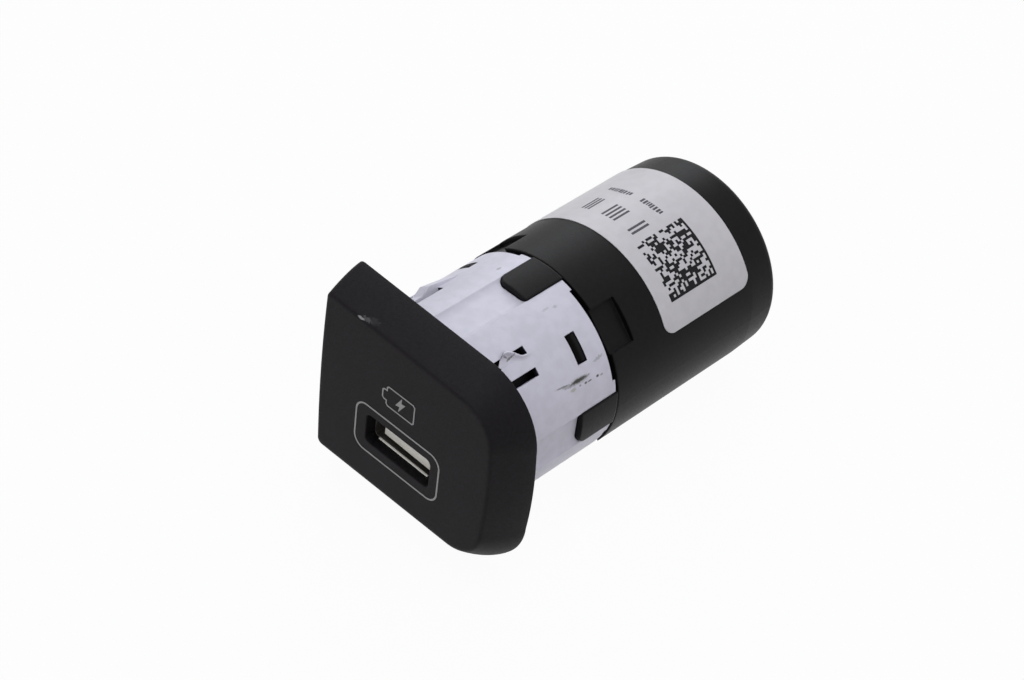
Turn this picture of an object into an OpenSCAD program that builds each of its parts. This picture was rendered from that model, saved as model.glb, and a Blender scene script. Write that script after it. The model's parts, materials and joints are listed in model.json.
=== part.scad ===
// Round push-in car USB socket. Millimetres. The face is at y = 0, the body runs back along +Y,
// +Z is up and +X is to the right as seen from the front. The body's axis is x = 0, z = 0.

/* [Bezel] */
// Depth of the bezel from its face to its rear rim
bezel_depth = 7.5; // [6:0.1:9]
// How far the face's left edge lies outside the body's radius
left_over = 0.1; // [-0.3:0.1:1.9]
// How far the face's right edge lies outside the body's radius
right_over = 1.4; // [0.6:0.1:3]
// How far the face's top edge lies outside the body's radius, below zero for inside it
top_over = -0.6; // [-0.8:0.1:1]
// How far the face's bottom edge lies outside the body's radius, below zero for inside it
bottom_over = -3.15; // [-3.5:0.05:-2]
// Angle by which the top edge falls to the right
top_fall = 2; // [0:0.5:4]
// Bow of the left and right edges
side_bow = 0.35; // [0:0.05:0.6]
// How far the left flank flares out at the rim
flare_left = 1.25; // [0.6:0.05:2]
// How far the right flank flares out at the rim
flare_right = 2.1; // [1:0.05:3]
// How far the top flank flares out at the rim
flare_top = 1.2; // [1:0.05:2]
// How far the bottom flank flares out at the rim
flare_bottom = 6; // [5:0.1:7]
// Corner radius of the sharp left corners
corner_left = 0.9; // [0.5:0.1:2]
// Corner radius of the face at the right
corner_face = 6.1; // [4:0.1:8]
// Corner radius of the rim at the right
corner_rim = 10.5; // [8.5:0.1:12]
// Rounding of the edge between face and flank
face_edge = 0.25; // [0.1:0.05:0.5]
// Thickness of the flanks
flank_wall = 1.6; // [1.2:0.1:2]
// Thickness of the face
face_wall = 2; // [1.6:0.1:2.4]
// Depth of the round recess in the rim that clears the sleeve's shoulder
rim_recess = 0.3; // [0.1:0.05:0.4]

/* [Port] */
// Width of the slot in the face
slot_w = 12.75; // [12.5:0.05:13.2]
// Height of the slot in the face
slot_h = 5.2; // [5:0.05:5.6]
// Corner radius of the slot
slot_r = 0.8; // [0.4:0.1:1.2]
// Port centre to the right of the axis
port_x = 0.15; // [-0.5:0.05:0.5]
// Port centre below the axis
port_drop = 2.9; // [2.5:0.1:3.3]
// Roll of the port and the board behind the slot
port_roll = 2; // [0:0.5:3]
// Width inside the shell
shell_in_w = 12.5; // [12.4:0.05:12.7]
// Height inside the shell
shell_in_h = 5.12; // [5.05:0.01:5.2]
// Sheet thickness of the shell
shell_t = 0.3; // [0.2:0.05:0.4]
// Length of the shell
shell_len = 14; // [13:0.1:15]
// Width of the insulator's tongue
tongue_w = 10.2; // [9.8:0.1:11]
// Thickness of the insulator's tongue
tongue_t = 1.84; // [1.7:0.02:2]
// Gap between the tongue and the shell's floor
tongue_gap = 0.66; // [0.5:0.02:0.9]
// Set-back of the tongue's front from the shell's mouth
tongue_set = 0.45; // [0.3:0.05:0.8]
// Depth of the insulator's base block
base_d = 4.2; // [3.5:0.1:5]
// Width of each contact
contact_w = 1; // [0.8:0.05:1.2]
// Thickness of each contact
contact_t = 0.22; // [0.15:0.01:0.3]

/* [Mounting sleeve] */
// Step from the housings' surface down to the sleeve's
sleeve_step = 0.2; // [0.2:0.02:0.3]
// Wall of the sleeve
sleeve_wall = 1.9; // [1.8:0.05:2]
// Step from the sleeve's surface down to its neck inside the bezel
neck_step = 1.25; // [1.15:0.05:1.3]
// Distance from the flange's front to the bezel's rim
flange_set = 2.3; // [2.2:0.05:2.4]
// Thickness of the flange
flange_t = 1.4; // [1.2:0.1:1.5]
// Distance from the tongues' corners to the joint behind them
tongue_short = 0.35; // [0.25:0.05:0.75]
// Depth of the long notch in each tongue's end
end_notch = 0.5; // [0.2:0.05:0.8]
// Width of the long notch in each tongue's end
end_notch_w = 14.2; // [12:0.1:15]
// Width of the gap between two tongues
gap_w = 6; // [5:0.1:7]
// Length of the gaps between the tongues
gap_l = 7.3; // [6.8:0.1:8.3]
// Radius of each gap's round front corner
gap_r = 1.6; // [0.8:0.1:2]
// Radius of each gap's tight front corner
gap_tight_r = 0.3; // [0.2:0.05:0.6]
// Depth of each channel
channel_depth = 0.8; // [0.6:0.05:1]
// Width of each channel at the sleeve's surface
channel_w = 6.3; // [6:0.1:6.8]
// Radius of the channels' rounded sides
channel_side = 2; // [1.5:0.1:2.4]
// Width of each window
window_w = 4.6; // [4:0.1:5]
// Distance from the windows' front edge to the tongues' corners
window_set = 5.9; // [5.6:0.1:6.3]
// Length of the windows along the sleeve
window_l = 1.85; // [1.7:0.05:2]

/* [Snap fingers] */
// Angle of each snap finger from its tongue's middle, towards the side of the sleeve's top or bottom
snap_shift = 7; // [4:0.5:9]
// Width of a snap finger
snap_w = 2.2; // [1.8:0.1:2.6]
// Width of the slots beside a snap finger
snap_slot = 1.25; // [1:0.05:1.4]
// Distance from the bezel's rim to the free tip of the snap fingers
snap_lead = 1.9; // [1.5:0.1:2.5]
// Length of the snap fingers
snap_l = 5.65; // [5.1:0.05:6.5]
// Thickness of the snap fingers, with room to flex below them
finger_t = 1.1; // [0.9:0.05:1.15]
// How far the room below a snap finger runs on behind its root
flex_run = 0.8; // [0.4:0.1:1.2]
// Height of the barbs above the sleeve
barb_h = 0.75; // [0.4:0.05:0.9]
// Distance from the fingers' tip to the crest of the barbs
barb_set = 4.4; // [3.6:0.1:4.8]
// Length of a barb's gentle rear ramp
barb_ramp = 5.4; // [4:0.1:6]
// Length of a barb's steep front flank
barb_front = 2; // [1.5:0.1:2.5]

/* [Housings] */
// Radius of the body
body_r = 16; // [15.5:0.1:18]
// Joint between the front and the rear housing
seam_y = 28.15; // [28:0.05:28.4]
// Width of the joint's open groove
seam_gap = 0.15; // [0.1:0.05:0.3]
// Rear end of the body
body_end = 63.5; // [62.5:0.1:66]
// Rounding of the rear edge
rear_round = 1.3; // [0.8:0.1:2]
// Wall of the rear housing
can_wall = 2; // [1.6:0.1:2.1]
// Thickness of the rear wall
rear_wall = 1.8; // [1.4:0.1:2.2]
// Length of the rear draft
draft_l = 5.9; // [4.5:0.1:6]
// Loss of radius from the rear draft
draft = 0.22; // [0:0.02:0.3]
// Wall of the front housing
front_wall = 1.8; // [1.6:0.05:1.9]
// Distance from the front housing's end to the sleeve's flange
nose_lead = 1.3; // [1.1:0.1:1.5]
// Thickness of the front housing's end wall
nose_wall = 1.3; // [1:0.1:1.5]
// Clearance between pieces that slide into each other
slide_gap = 0.1; // [0.05:0.01:0.15]
// Width of the tool pockets
pocket_w = 7; // [5:0.1:8]
// Length of the tool pockets behind the joint
pocket_l = 4.6; // [3:0.1:5]
// Depth of the pockets' flat floor below the body's surface
pocket_depth = 1; // [0.7:0.05:1.3]
// Length of the rear housing's spigot
spigot_l = 3.6; // [3:0.1:4.5]
// Wall of the rear housing's spigot
spigot_wall = 0.9; // [0.7:0.05:1]
// Thickness of the ring between the spigot and the can
ring_t = 1.4; // [1.2:0.1:2]
// Height of the latch lugs above the front housing
lug_h = 1.9; // [1.5:0.1:1.9]

/* [Label] */
// Distance from the label's rear edge to the rear of the body
label_set = 6.2; // [6:0.05:7]
// Length of the label along the body
label_l = 18.45; // [16:0.05:18.5]
// Thickness of the label
label_t = 0.1; // [0.05:0.05:0.2]
// Angle of the label's lower edge
label_from = 23.5; // [20:0.5:30]
// Angle that the label wraps
label_wrap = 160; // [120:1:170]
// Corner radius of the label
label_r = 2; // [1:0.1:3]

/* [Board and parts] */
// Width of the board
board_w = 15.2; // [14.6:0.1:15.4]
// Thickness of the board
board_t = 1.6; // [1.5:0.1:1.6]
// Gap between the front housing's end wall and the board
board_lead = 0.4; // [0.2:0.1:0.8]
// Distance from the board's rear edge to the rear of the body
board_set = 5.5; // [4.5:0.1:7.5]
// Width and length of the choke
choke_w = 8; // [7:0.1:8.5]
// Height of the choke
choke_h = 4.5; // [4:0.1:6]
// Diameter of the input capacitor
input_cap_d = 8; // [6:0.1:8.4]
// Height of the input capacitor
input_cap_h = 10; // [8:0.1:11]
// Diameter of the output capacitor
output_cap_d = 6.3; // [5:0.1:6.6]
// Height of the output capacitor
output_cap_h = 6; // [5:0.1:8]
// Body length of the controller chip
chip_l = 5; // [4:0.1:5.4]
// Body width of the controller chip
chip_w = 4; // [3.6:0.1:4.4]
// Height of the controller chip
chip_h = 1.5; // [1.2:0.1:1.8]

/* [Rear connection] */
// Width inside the connector
conn_in_w = 12.4; // [12:0.1:13]
// Height inside the connector
conn_in_h = 8; // [7.8:0.1:8.4]
// Wall of the connector
conn_wall = 1.1; // [0.9:0.05:1.3]
// Length of the connector
conn_l = 13.3; // [12.3:0.1:14.3]
// Thickness of the connector's floor
conn_floor = 2; // [1.6:0.1:2.5]
// Set-back of the connector's rim from the rear face
conn_set = 0.2; // [0:0.05:0.5]
// Width of each terminal pin
pin_w = 1.5; // [1.2:0.1:1.8]
// Thickness of each terminal pin
pin_t = 0.64; // [0.5:0.02:0.8]
// Distance between terminal pins
pin_pitch = 3; // [2.5:0.1:3.2]
// Height of the pins above the connector's inner floor
pin_rise = 2.2; // [2:0.1:2.8]
// Distance from the pins' tips to the rear of the body
pin_set = 5.3; // [4.5:0.1:6.5]

/* [Hidden] */
$fn = 96;

// Overlap that lets a cut run clear through a face
over = 0.5;
// Quarter turns at which the gaps, channels and fingers stand, and the tongues between them
gap_angles = [0, 90, 180, 270];
// Side of each gap that has the tight corner, so that every other tongue has both of them
gap_sides = [-1, 1, -1, 1];
tongue_angles = [45, 135, 225, 315];
// The finger of the first tongue has lost its barb
snap_angles = [45 + snap_shift, 135 - snap_shift, 225 + snap_shift, 315 - snap_shift];
barbed_angles = [135 - snap_shift, 225 + snap_shift, 315 - snap_shift];

face_left = body_r + left_over;
face_right = body_r + right_over;
face_top = body_r + top_over;
face_bottom = body_r + bottom_over;

sleeve_r = body_r - sleeve_step;
sleeve_bore = sleeve_r - sleeve_wall;
neck_r = sleeve_r - neck_step;
channel_floor = sleeve_r - channel_depth;
shoulder_y = bezel_depth + slide_gap;
flange_y = bezel_depth - flange_set;
flange_inset = flank_wall + 1.5 * slide_gap;
tongue_end = seam_y - tongue_short;
gap_y = tongue_end - gap_l;
window_y = tongue_end - window_set;
snap_tip = bezel_depth + snap_lead;
snap_root = snap_tip + snap_l;
barb_y = snap_tip + barb_set;

port_z = -port_drop;
shell_w = shell_in_w + 2 * shell_t;
shell_h = shell_in_h + 2 * shell_t;
shell_y = face_wall;
shell_end = shell_y + shell_len;
shell_floor = port_z - shell_in_h / 2;
board_top = port_z - shell_h / 2;
board_bottom = board_top - board_t;
tongue_low = shell_floor + tongue_gap;
tongue_top = tongue_low + tongue_t;
tongue_y = shell_y + tongue_set;
base_y = shell_end - shell_t - base_d;
contact_x = [-3.5, -1, 1, 3.5];
contact_y = tongue_y + 1;
contact_tail_y = shell_end - shell_t - 1.2;
tail_l = 0.9;
tail_low = board_bottom - tail_l;

housing_r = sleeve_bore - slide_gap;
front_bore = housing_r - front_wall;
nose_y = flange_y - nose_lead;
board_y = nose_y + nose_wall + board_lead;
board_end = body_end - board_set;
finger_w = gap_w - 2 * slide_gap;
finger_y = gap_y + slide_gap;
finger_end = seam_y - seam_gap;
can_bore = body_r - can_wall;
draft_y = body_end - draft_l;
pocket_floor = body_r - pocket_depth;
spigot_r = front_bore - slide_gap;
spigot_bore = spigot_r - spigot_wall;
spigot_y = seam_y - spigot_l;
lug_y = window_y + slide_gap;
lug_l = window_l - 2 * slide_gap;
lug_w = window_w - 4 * slide_gap;

conn_w = conn_in_w + 2 * conn_wall;
conn_h = conn_in_h + 2 * conn_wall;
conn_z = board_top + conn_h / 2;
conn_end = body_end - conn_set;
conn_y = conn_end - conn_l;
pin_end = body_end - pin_set;
pin_z = board_top + conn_wall + pin_rise;
pin_x = [-1.5 * pin_pitch, -0.5 * pin_pitch, 0.5 * pin_pitch, 1.5 * pin_pitch];
pin_leg_y = conn_y - 1.2;

// Solder feet of the shell: their places along the board and their width
foot_lead = 1.2;
foot_pitch = 4.8;
foot_ys = [board_y + foot_lead, board_y + foot_lead + foot_pitch];
foot_w = 1.8;
foot_slot = 0.1;

// Holes in the board for the contacts' and the pins' legs
contact_hole_r = 0.45;
pin_hole_r = 0.75;

// Places of the parts that stand on the board: the choke between two rows of chip parts, the chip
// beside the output capacitor, and the input capacitor between the diode and the fuse
part_gap = 0.4;
chip_lead = 1;
choke_y = shell_end + 1.5 + choke_w / 2;
pair_y = choke_y + choke_w / 2 + part_gap;
chip_y = pair_y + chip_lead + chip_w / 2;
chip_x = -chip_l / 2 - 1.3;
output_cap_y = pair_y + output_cap_d / 2;
output_cap_x = output_cap_d / 2 + 0.3;
input_cap_y = pin_leg_y - 1 - input_cap_d / 2;
edge_part_w = 2.4;
edge_part_x = (board_w - edge_part_w) / 2;
edge_part_lead = 5.6;
edge_part_y = pin_leg_y - edge_part_lead;
diode_l = 4.4;
diode_h = 2.2;
fuse_l = 4.5;
fuse_h = 1;
ceramic_l = 2;
ceramic_w = 1.25;
ceramic_h = 1;
ceramic_pitch = 2.2;
ceramic_count = 4;
resistor_l = 1.6;
resistor_w = 0.8;
resistor_h = 0.45;
resistor_pitch = 1.7;
resistor_count = 5;
row_x = choke_w / 2 + 0.35 + ceramic_l / 2;

// Extrudes an outline drawn as seen from the front, from y0 back to y1
module slab(y0, y1) {
    translate([0, y1, 0]) rotate([90, 0, 0]) linear_extrude(y1 - y0) children();
}

// Revolves a profile of [radius, y] points about the body's axis
module turned() {
    rotate([-90, 0, 0]) rotate_extrude() children();
}

// Round bar along the body's axis
module bar(y0, y1, r) {
    slab(y0, y1) circle(r);
}

// Turns what stands at the top, along +Z, round to an angle measured from +X towards +Z
module at_angle(a) {
    rotate([0, 90 - a, 0]) children();
}

// Box given by its low and high corners
module span(low, high) {
    translate(low) cube(high - low);
}

module rounded(w, h, r) {
    square([w - 2 * r, h], center = true);
    square([w, h - 2 * r], center = true);
    for (x = [r - w / 2, w / 2 - r], z = [r - h / 2, h / 2 - r]) translate([x, z]) circle(r, $fn = 32);
}

// Everything that is square with the port shares its roll
module in_port_frame() {
    translate([port_x, 0, port_z]) rotate([0, port_roll, 0]) translate([0, 0, -port_z]) children();
}

// Bezel outline at a depth of t, from 0 at the face to 1 at the rim, drawn in by inset
flare_power = 1.4;
corner_steps = 9;
function flare(t) = 1 - pow(1 - t, flare_power);
function arc(x, z, r, a0, a1) = [for (i = [0:corner_steps])
    let (a = a0 + (a1 - a0) * i / corner_steps) [x + r * cos(a), z + r * sin(a)]];
function left_at(t) = -face_left - flare_left * flare(t);
function right_at(t) = face_right + flare_right * flare(t);
function top_at(t) = face_top + flare_top * flare(t);
function bottom_at(t) = -face_bottom - flare_bottom * flare(t);
function top_line(t, inset, x) = top_at(t) - inset - tan(top_fall) * x;
function bowed(x, dir, z0, z1) = [for (i = [1:5])
    let (s = i / 3 - 1) [x - dir * side_bow * s * s, z0 + (z1 - z0) * i / 6]];
function outline(t, inset) =
    let (
        l = left_at(t) + inset,
        r = right_at(t) - inset,
        b = bottom_at(t) + inset,
        rr = corner_face + (corner_rim - corner_face) * flare(t) - inset,
        rl = corner_left,
        zr = top_line(t, inset, r - rr) - rr,
        zl = top_line(t, inset, l + rl) - rl,
        bow = side_bow
    )
    concat(
        arc(l + rl + bow, b + rl, rl, 180, 270),
        arc(r - rr - bow, b + rr, rr, 270, 360),
        bowed(r, 1, b + rr, zr),
        arc(r - rr - bow, zr, rr, 0, 90),
        arc(l + rl + bow, zl, rl, 90, 180),
        bowed(l, -1, zl, b + rl)
    );
function rim_t(y) = y / bezel_depth;

// Thin slice of the bezel's outline at depth y
slice = 0.01;
module bezel_slice(y, inset) {
    slab(y, y + slice) polygon(outline(rim_t(y), inset));
}

module bezel_form() {
    hull() {
        bezel_slice(0, face_edge);
        bezel_slice(face_edge * 0.3, face_edge * 0.3);
        for (k = [face_edge, 0.9, 1.8, 3, 4.4, 6]) bezel_slice(k * bezel_depth / 7.5, 0);
        bezel_slice(bezel_depth - slice, 0);
    }
}

module bezel_hollow() {
    hull() {
        for (k = [0, 0.3, 0.6, 1]) {
            y = face_wall + (bezel_depth - face_wall) * k;
            slab(y, y + slice) polygon(outline(rim_t(y), flank_wall));
        }
        slab(bezel_depth, bezel_depth + over) polygon(outline(1, flank_wall));
    }
}

// Rib inside the top or bottom flank that stops the sleeve's flange
rib_t = 1;
rib_h = 2.4;
rib_end = flange_y - 0.05;
module flank_rib(x, sign) {
    root = 0.7;
    z0 = sign > 0
        ? top_line(rim_t(face_wall), flank_wall, x)
        : bottom_at(rim_t(face_wall)) + flank_wall;
    z1 = sign > 0
        ? top_line(rim_t(rib_end), flank_wall, x)
        : bottom_at(rim_t(rib_end)) + flank_wall;
    translate([x - rib_t / 2, 0, 0]) rotate([90, 0, 90]) linear_extrude(rib_t)
        polygon([
            [face_wall - root, z0 + sign * root],
            [rib_end, z1 + sign * root],
            [rib_end, z1 - sign * rib_h],
            [face_wall - root, z0 - sign * rib_h]
        ]);
}

// Hook that snaps behind the sleeve's flange
hook_w = 4;
hook_catch = 0.4;
hook_y = flange_y + flange_t + 0.05;
hook_end = bezel_depth - rim_recess - 0.05;
module flank_hook(x, sign) {
    root = 0.5;
    z0 = sign > 0
        ? top_line(rim_t(hook_y), flank_wall, x + hook_w / 2)
        : bottom_at(rim_t(hook_y)) + flank_wall;
    tip = sign > 0
        ? top_line(rim_t(flange_y), flange_inset, x + hook_w / 2) - hook_catch
        : bottom_at(rim_t(flange_y)) + flange_inset + hook_catch;
    translate([x - hook_w / 2, 0, 0]) rotate([90, 0, 90]) linear_extrude(hook_w)
        polygon([
            [hook_y, z0 + sign * root],
            [hook_y, tip],
            [hook_end, z0],
            [hook_end, z0 + sign * root]
        ]);
}

// Places of the ribs and hooks across the bezel, each at the top and at the bottom, measured in
// from the body's left and right side
rib_in = [4.5, 6];
hook_in = [10, 11];
rib_xs = [rib_in[0] - body_r, body_r - rib_in[1]];
hook_xs = [hook_in[0] - body_r, body_r - hook_in[1]];
module front_bezel() {
    color("#2a292b") difference() {
        union() {
            difference() {
                bezel_form();
                bezel_hollow();
            }
            for (x = rib_xs, sign = [-1, 1]) flank_rib(x, sign);
            for (x = hook_xs, sign = [-1, 1]) flank_hook(x, sign);
        }
        bar(nose_y - 4 * slide_gap, flange_y, sleeve_bore + slide_gap);
        bar(flange_y - slide_gap, bezel_depth + over, neck_r + slide_gap);
        bar(bezel_depth - rim_recess, bezel_depth + over, sleeve_r + slide_gap);
        slab(-over, face_wall + over) translate([port_x, port_z]) rounded(slot_w, slot_h, slot_r);
    }
}

// Section of one channel at the top of the sleeve: flat floor and rounded sides
channel_flat = channel_w / 2 - channel_side * sin(50);
function channel_side_points(dir) = [for (a = [0:10:50])
    [dir * (channel_flat + channel_side * sin(a)), channel_floor + channel_side * (1 - cos(a))]];
module channel_section() {
    right = channel_side_points(1);
    left = channel_side_points(-1);
    lift = sleeve_r + over;
    polygon(concat(
        right,
        [[channel_w / 2, lift], [-channel_w / 2, lift]],
        [for (i = [5:-1:0]) left[i]]
    ));
}

// Plan of the gap between two tongues, and of the finger that fills it, with one round corner and
// one tight corner at its front
module gap_plan(w, y0, y1, side) {
    round_x = side * (gap_r - w / 2);
    tight_x = side * (w / 2 - gap_tight_r);
    tight_w = gap_r - gap_tight_r;
    translate([-w / 2, y0 + gap_r]) square([w, y1 - y0 - gap_r]);
    translate([min(round_x, tight_x), y0]) square([abs(tight_x - round_x), gap_r + over]);
    translate([side * (w / 2 - gap_r / 2) - gap_r / 2, y0 + gap_tight_r]) square([gap_r, tight_w + over]);
    translate([round_x, y0 + gap_r]) circle(gap_r, $fn = 32);
    translate([tight_x, y0 + gap_tight_r]) circle(gap_tight_r, $fn = 32);
}

// Slots on three sides of a snap finger, and the room below it
module snap_slots() {
    half = snap_w / 2 + snap_slot;
    low = sleeve_bore - 1;
    difference() {
        span([-half, snap_tip - 1, low], [half, snap_root, sleeve_r + over]);
        span([-snap_w / 2, snap_tip, low - over], [snap_w / 2, snap_root + over, sleeve_r + 2 * over]);
    }
    span([-half, snap_tip - 1, low], [half, snap_root + flex_run, sleeve_r - finger_t]);
}

module barb() {
    sink = 0.6;
    translate([-snap_w / 2, 0, 0]) rotate([90, 0, 90]) linear_extrude(snap_w)
        polygon([
            [barb_y - barb_front, sleeve_r - sink],
            [barb_y - barb_front, sleeve_r - 0.1],
            [barb_y, sleeve_r + barb_h],
            [barb_y + barb_ramp, sleeve_r],
            [barb_y + barb_ramp, sleeve_r - sink]
        ]);
}

module mounting_sleeve() {
    color("#c8c6d2") difference() {
        union() {
            bar(shoulder_y, tongue_end, sleeve_r);
            bar(flange_y + flange_t / 2, shoulder_y + over, neck_r);
            slab(flange_y, flange_y + flange_t) polygon(outline(rim_t(flange_y), flange_inset));
            for (a = barbed_angles) at_angle(a) barb();
        }
        bar(flange_y - over, tongue_end + over, sleeve_bore);
        for (i = [0:3]) at_angle(gap_angles[i]) {
            slab(flange_y + flange_t, gap_y + gap_r) channel_section();
            translate([0, 0, front_bore]) linear_extrude(sleeve_r + over - front_bore)
                gap_plan(gap_w, gap_y, tongue_end + over, gap_sides[i]);
        }
        for (a = tongue_angles) at_angle(a) {
            span([-end_notch_w / 2, tongue_end - end_notch, sleeve_bore - 2],
                [end_notch_w / 2, tongue_end + over, sleeve_r + over]);
            span([-window_w / 2, window_y, sleeve_bore - 1],
                [window_w / 2, window_y + window_l, sleeve_r + over]);
        }
        for (a = snap_angles) at_angle(a) snap_slots();
    }
}

// Finger of the front housing that fills a gap between tongues
module housing_finger(side) {
    intersection() {
        translate([0, 0, front_bore + 1]) linear_extrude(body_r - front_bore)
            gap_plan(finger_w, finger_y, finger_end, side);
        bar(finger_y - over, finger_end + over, body_r);
    }
}

// Latch lug with its ramp towards the front and a round crest
lug_toe = 0.3;
lug_crest = 0.5;
module housing_lug() {
    intersection() {
        translate([-lug_w / 2, 0, 0]) rotate([90, 0, 90]) linear_extrude(lug_w)
            polygon([
                [lug_y, housing_r - 0.5],
                [lug_y, housing_r + lug_toe],
                [lug_y + lug_l - lug_crest, housing_r + lug_h],
                [lug_y + lug_l, housing_r + lug_h],
                [lug_y + lug_l, housing_r - 0.5]
            ]);
        bar(lug_y - over, lug_y + lug_l + over, housing_r + lug_h);
    }
}

// Pair of ledges on each side that hold the board's edges
ledge_end = spigot_y - 1;
ledge_bite = 0.9;
module board_ledges() {
    intersection() {
        in_port_frame() for (side = [-1, 1]) {
            x0 = side * (board_w / 2 - ledge_bite);
            x1 = side * housing_r;
            for (z = [[board_bottom - 1.5, board_bottom - 0.05], [board_top + 0.05, board_top + 1]])
                span([min(x0, x1), nose_y + nose_wall / 2, z[0]], [max(x0, x1), ledge_end, z[1]]);
        }
        bar(nose_y, ledge_end, (front_bore + housing_r) / 2);
    }
}

// Room for the board's edges and for the legs below it, where a wall comes near them
module board_room() {
    in_port_frame() {
        slab(board_y - slide_gap, board_end + slide_gap) translate([0, (board_top + board_bottom) / 2])
            square([board_w + 2 * slide_gap, board_t + 0.6 * slide_gap], center = true);
        slab(board_y - slide_gap, shell_end + slide_gap) translate([0, (board_top + tail_low) / 2])
            square([shell_w + 2 * slide_gap, board_top - tail_low + 2 * slide_gap], center = true);
    }
}

module front_housing() {
    color("#2c2d30") difference() {
        union() {
            difference() {
                bar(nose_y, finger_end, housing_r);
                bar(nose_y + nose_wall, finger_end + over, front_bore);
            }
            for (i = [0:3]) at_angle(gap_angles[i]) housing_finger(gap_sides[i]);
            for (a = tongue_angles) at_angle(a) housing_lug();
            board_ledges();
        }
        in_port_frame() slab(nose_y - over, nose_y + nose_wall + over) translate([0, port_z])
            square([shell_w + 2 * slide_gap, shell_h + 2 * slide_gap], center = true);
        board_room();
    }
}

// Half section of the can as [radius, y]
module can_profile() {
    tip_r = body_r - draft;
    difference() {
        union() {
            translate([0, spigot_y]) square([spigot_r, seam_y + ring_t - spigot_y]);
            translate([0, seam_y]) square([body_r, draft_y - seam_y]);
            polygon([
                [0, draft_y],
                [body_r, draft_y],
                [tip_r, body_end - rear_round],
                [0, body_end - rear_round]
            ]);
            translate([0, body_end - rear_round]) square([tip_r - rear_round, rear_round]);
            intersection() {
                translate([tip_r - rear_round, body_end - rear_round]) circle(rear_round, $fn = 48);
                translate([0, body_end - rear_round]) square([body_r, rear_round]);
            }
        }
        translate([0, spigot_y - over]) square([spigot_bore, over + seam_y + ring_t - spigot_y + over]);
        translate([0, seam_y + ring_t]) square([can_bore, body_end - rear_wall - seam_y - ring_t]);
    }
}

module rear_housing() {
    color("#303136") difference() {
        turned() can_profile();
        for (a = tongue_angles) at_angle(a)
            span([-pocket_w / 2, seam_y - over, pocket_floor],
                [pocket_w / 2, seam_y + pocket_l, body_r + over]);
        in_port_frame() slab(body_end - rear_wall - over, body_end + over) translate([0, conn_z])
            rounded(conn_w + 2 * slide_gap, conn_h + 2 * slide_gap, 0.6);
        board_room();
    }
}

// Wedge between two angles less than a half turn apart
module wedge(a0, a1, r) {
    polygon(concat([[0, 0]], [for (i = [0:4]) let (a = a0 + (a1 - a0) * i / 4) [r * cos(a), r * sin(a)]]));
}

// Piece to be cut away outside a rounded label corner, drawn at the top of the body
module label_corner(dir_x, dir_y) {
    far = 2 * label_r;
    arc_r = 1.015 * label_r;
    points = concat(
        [for (a = [0:15:90]) [arc_r * cos(a), arc_r * sin(a)]],
        [[0, far], [far, far], [far, 0]]
    );
    translate([0, 0, body_r - label_r]) linear_extrude(2 * label_r)
        polygon([for (p = points) [dir_x * p[0], dir_y * p[1]]]);
}

module rating_label() {
    label_end = body_end - label_set;
    label_y = label_end - label_l;
    label_to = label_from + label_wrap;
    corner_turn = label_r / body_r * 180 / PI;
    color("#cccbd4") difference() {
        intersection() {
            difference() {
                bar(label_y, label_end, body_r + label_t);
                bar(label_y - over, label_end + over, body_r);
            }
            slab(label_y - over, label_end + over) wedge(label_from, label_to, 2 * body_r);
        }
        at_angle(label_from + corner_turn) {
            translate([0, label_y + label_r, 0]) label_corner(1, -1);
            translate([0, label_end - label_r, 0]) label_corner(1, 1);
        }
        at_angle(label_to - corner_turn) {
            translate([0, label_y + label_r, 0]) label_corner(-1, -1);
            translate([0, label_end - label_r, 0]) label_corner(-1, 1);
        }
    }
}

// Leaf spring cut into the shell's roof or floor, as its U-shaped outline
leaf_w = 1.6;
leaf_l = 4.5;
leaf_y = shell_y + 3;
leaf_slot = 0.35;
module leaf_cut(x, z) {
    difference() {
        span([x - leaf_w / 2 - leaf_slot, leaf_y, z - shell_t],
            [x + leaf_w / 2 + leaf_slot, leaf_y + leaf_l, z + shell_t]);
        span([x - leaf_w / 2, leaf_y + leaf_slot, z - 2 * shell_t],
            [x + leaf_w / 2, leaf_y + leaf_l + over, z + 2 * shell_t]);
    }
}

module usb_shell() {
    leaf_x = 3.2;
    color("#cfd0cf") in_port_frame() difference() {
        union() {
            slab(shell_y, shell_end) translate([0, port_z]) difference() {
                rounded(shell_w, shell_h, 0.8);
                rounded(shell_in_w, shell_in_h, 0.5);
            }
            slab(shell_end - shell_t, shell_end) translate([0, port_z])
                rounded(shell_in_w + shell_t, shell_in_h + shell_t, 0.5);
            for (side = [-1, 1], y = foot_ys) {
                x = side * (shell_w - shell_t) / 2;
                span([x - shell_t / 2, y - foot_w / 2, tail_low], [x + shell_t / 2, y + foot_w / 2, port_z]);
            }
        }
        for (x = [-leaf_x, leaf_x], z = [port_z - (shell_h - shell_t) / 2, port_z + (shell_h - shell_t) / 2])
            leaf_cut(x, z);
        span([-tongue_w / 2, contact_tail_y - 0.4, board_top - over],
            [tongue_w / 2, shell_end - 2 * shell_t, shell_floor + 0.01]);
    }
}

// Bent contact: a strip along the tongue, then a tail down through the board
module contact_form(x) {
    half = contact_w / 2;
    span([x - half, contact_y, tongue_top],
        [x + half, contact_tail_y + contact_t, tongue_top + contact_t]);
    span([x - half / 2, contact_tail_y, tail_low],
        [x + half / 2, contact_tail_y + contact_t, tongue_top + contact_t]);
}

module usb_insulator() {
    base_low = shell_floor + 0.02;
    base_high = port_z + shell_in_h / 2 - 0.02;
    half = shell_in_w / 2 - 0.05;
    color("#c9c8c2") in_port_frame() difference() {
        union() {
            slab(base_y, shell_end - shell_t) translate([0, port_z])
                rounded(2 * half, base_high - base_low, 0.5);
            slab(tongue_y + 0.4, base_y + over) translate([0, (tongue_low + tongue_top) / 2])
                square([tongue_w, tongue_t], center = true);
            slab(tongue_y, tongue_y + 0.4) translate([0, (tongue_low + tongue_top) / 2])
                square([tongue_w - 0.6, tongue_t], center = true);
        }
        for (x = contact_x) contact_form(x);
    }
}

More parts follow.
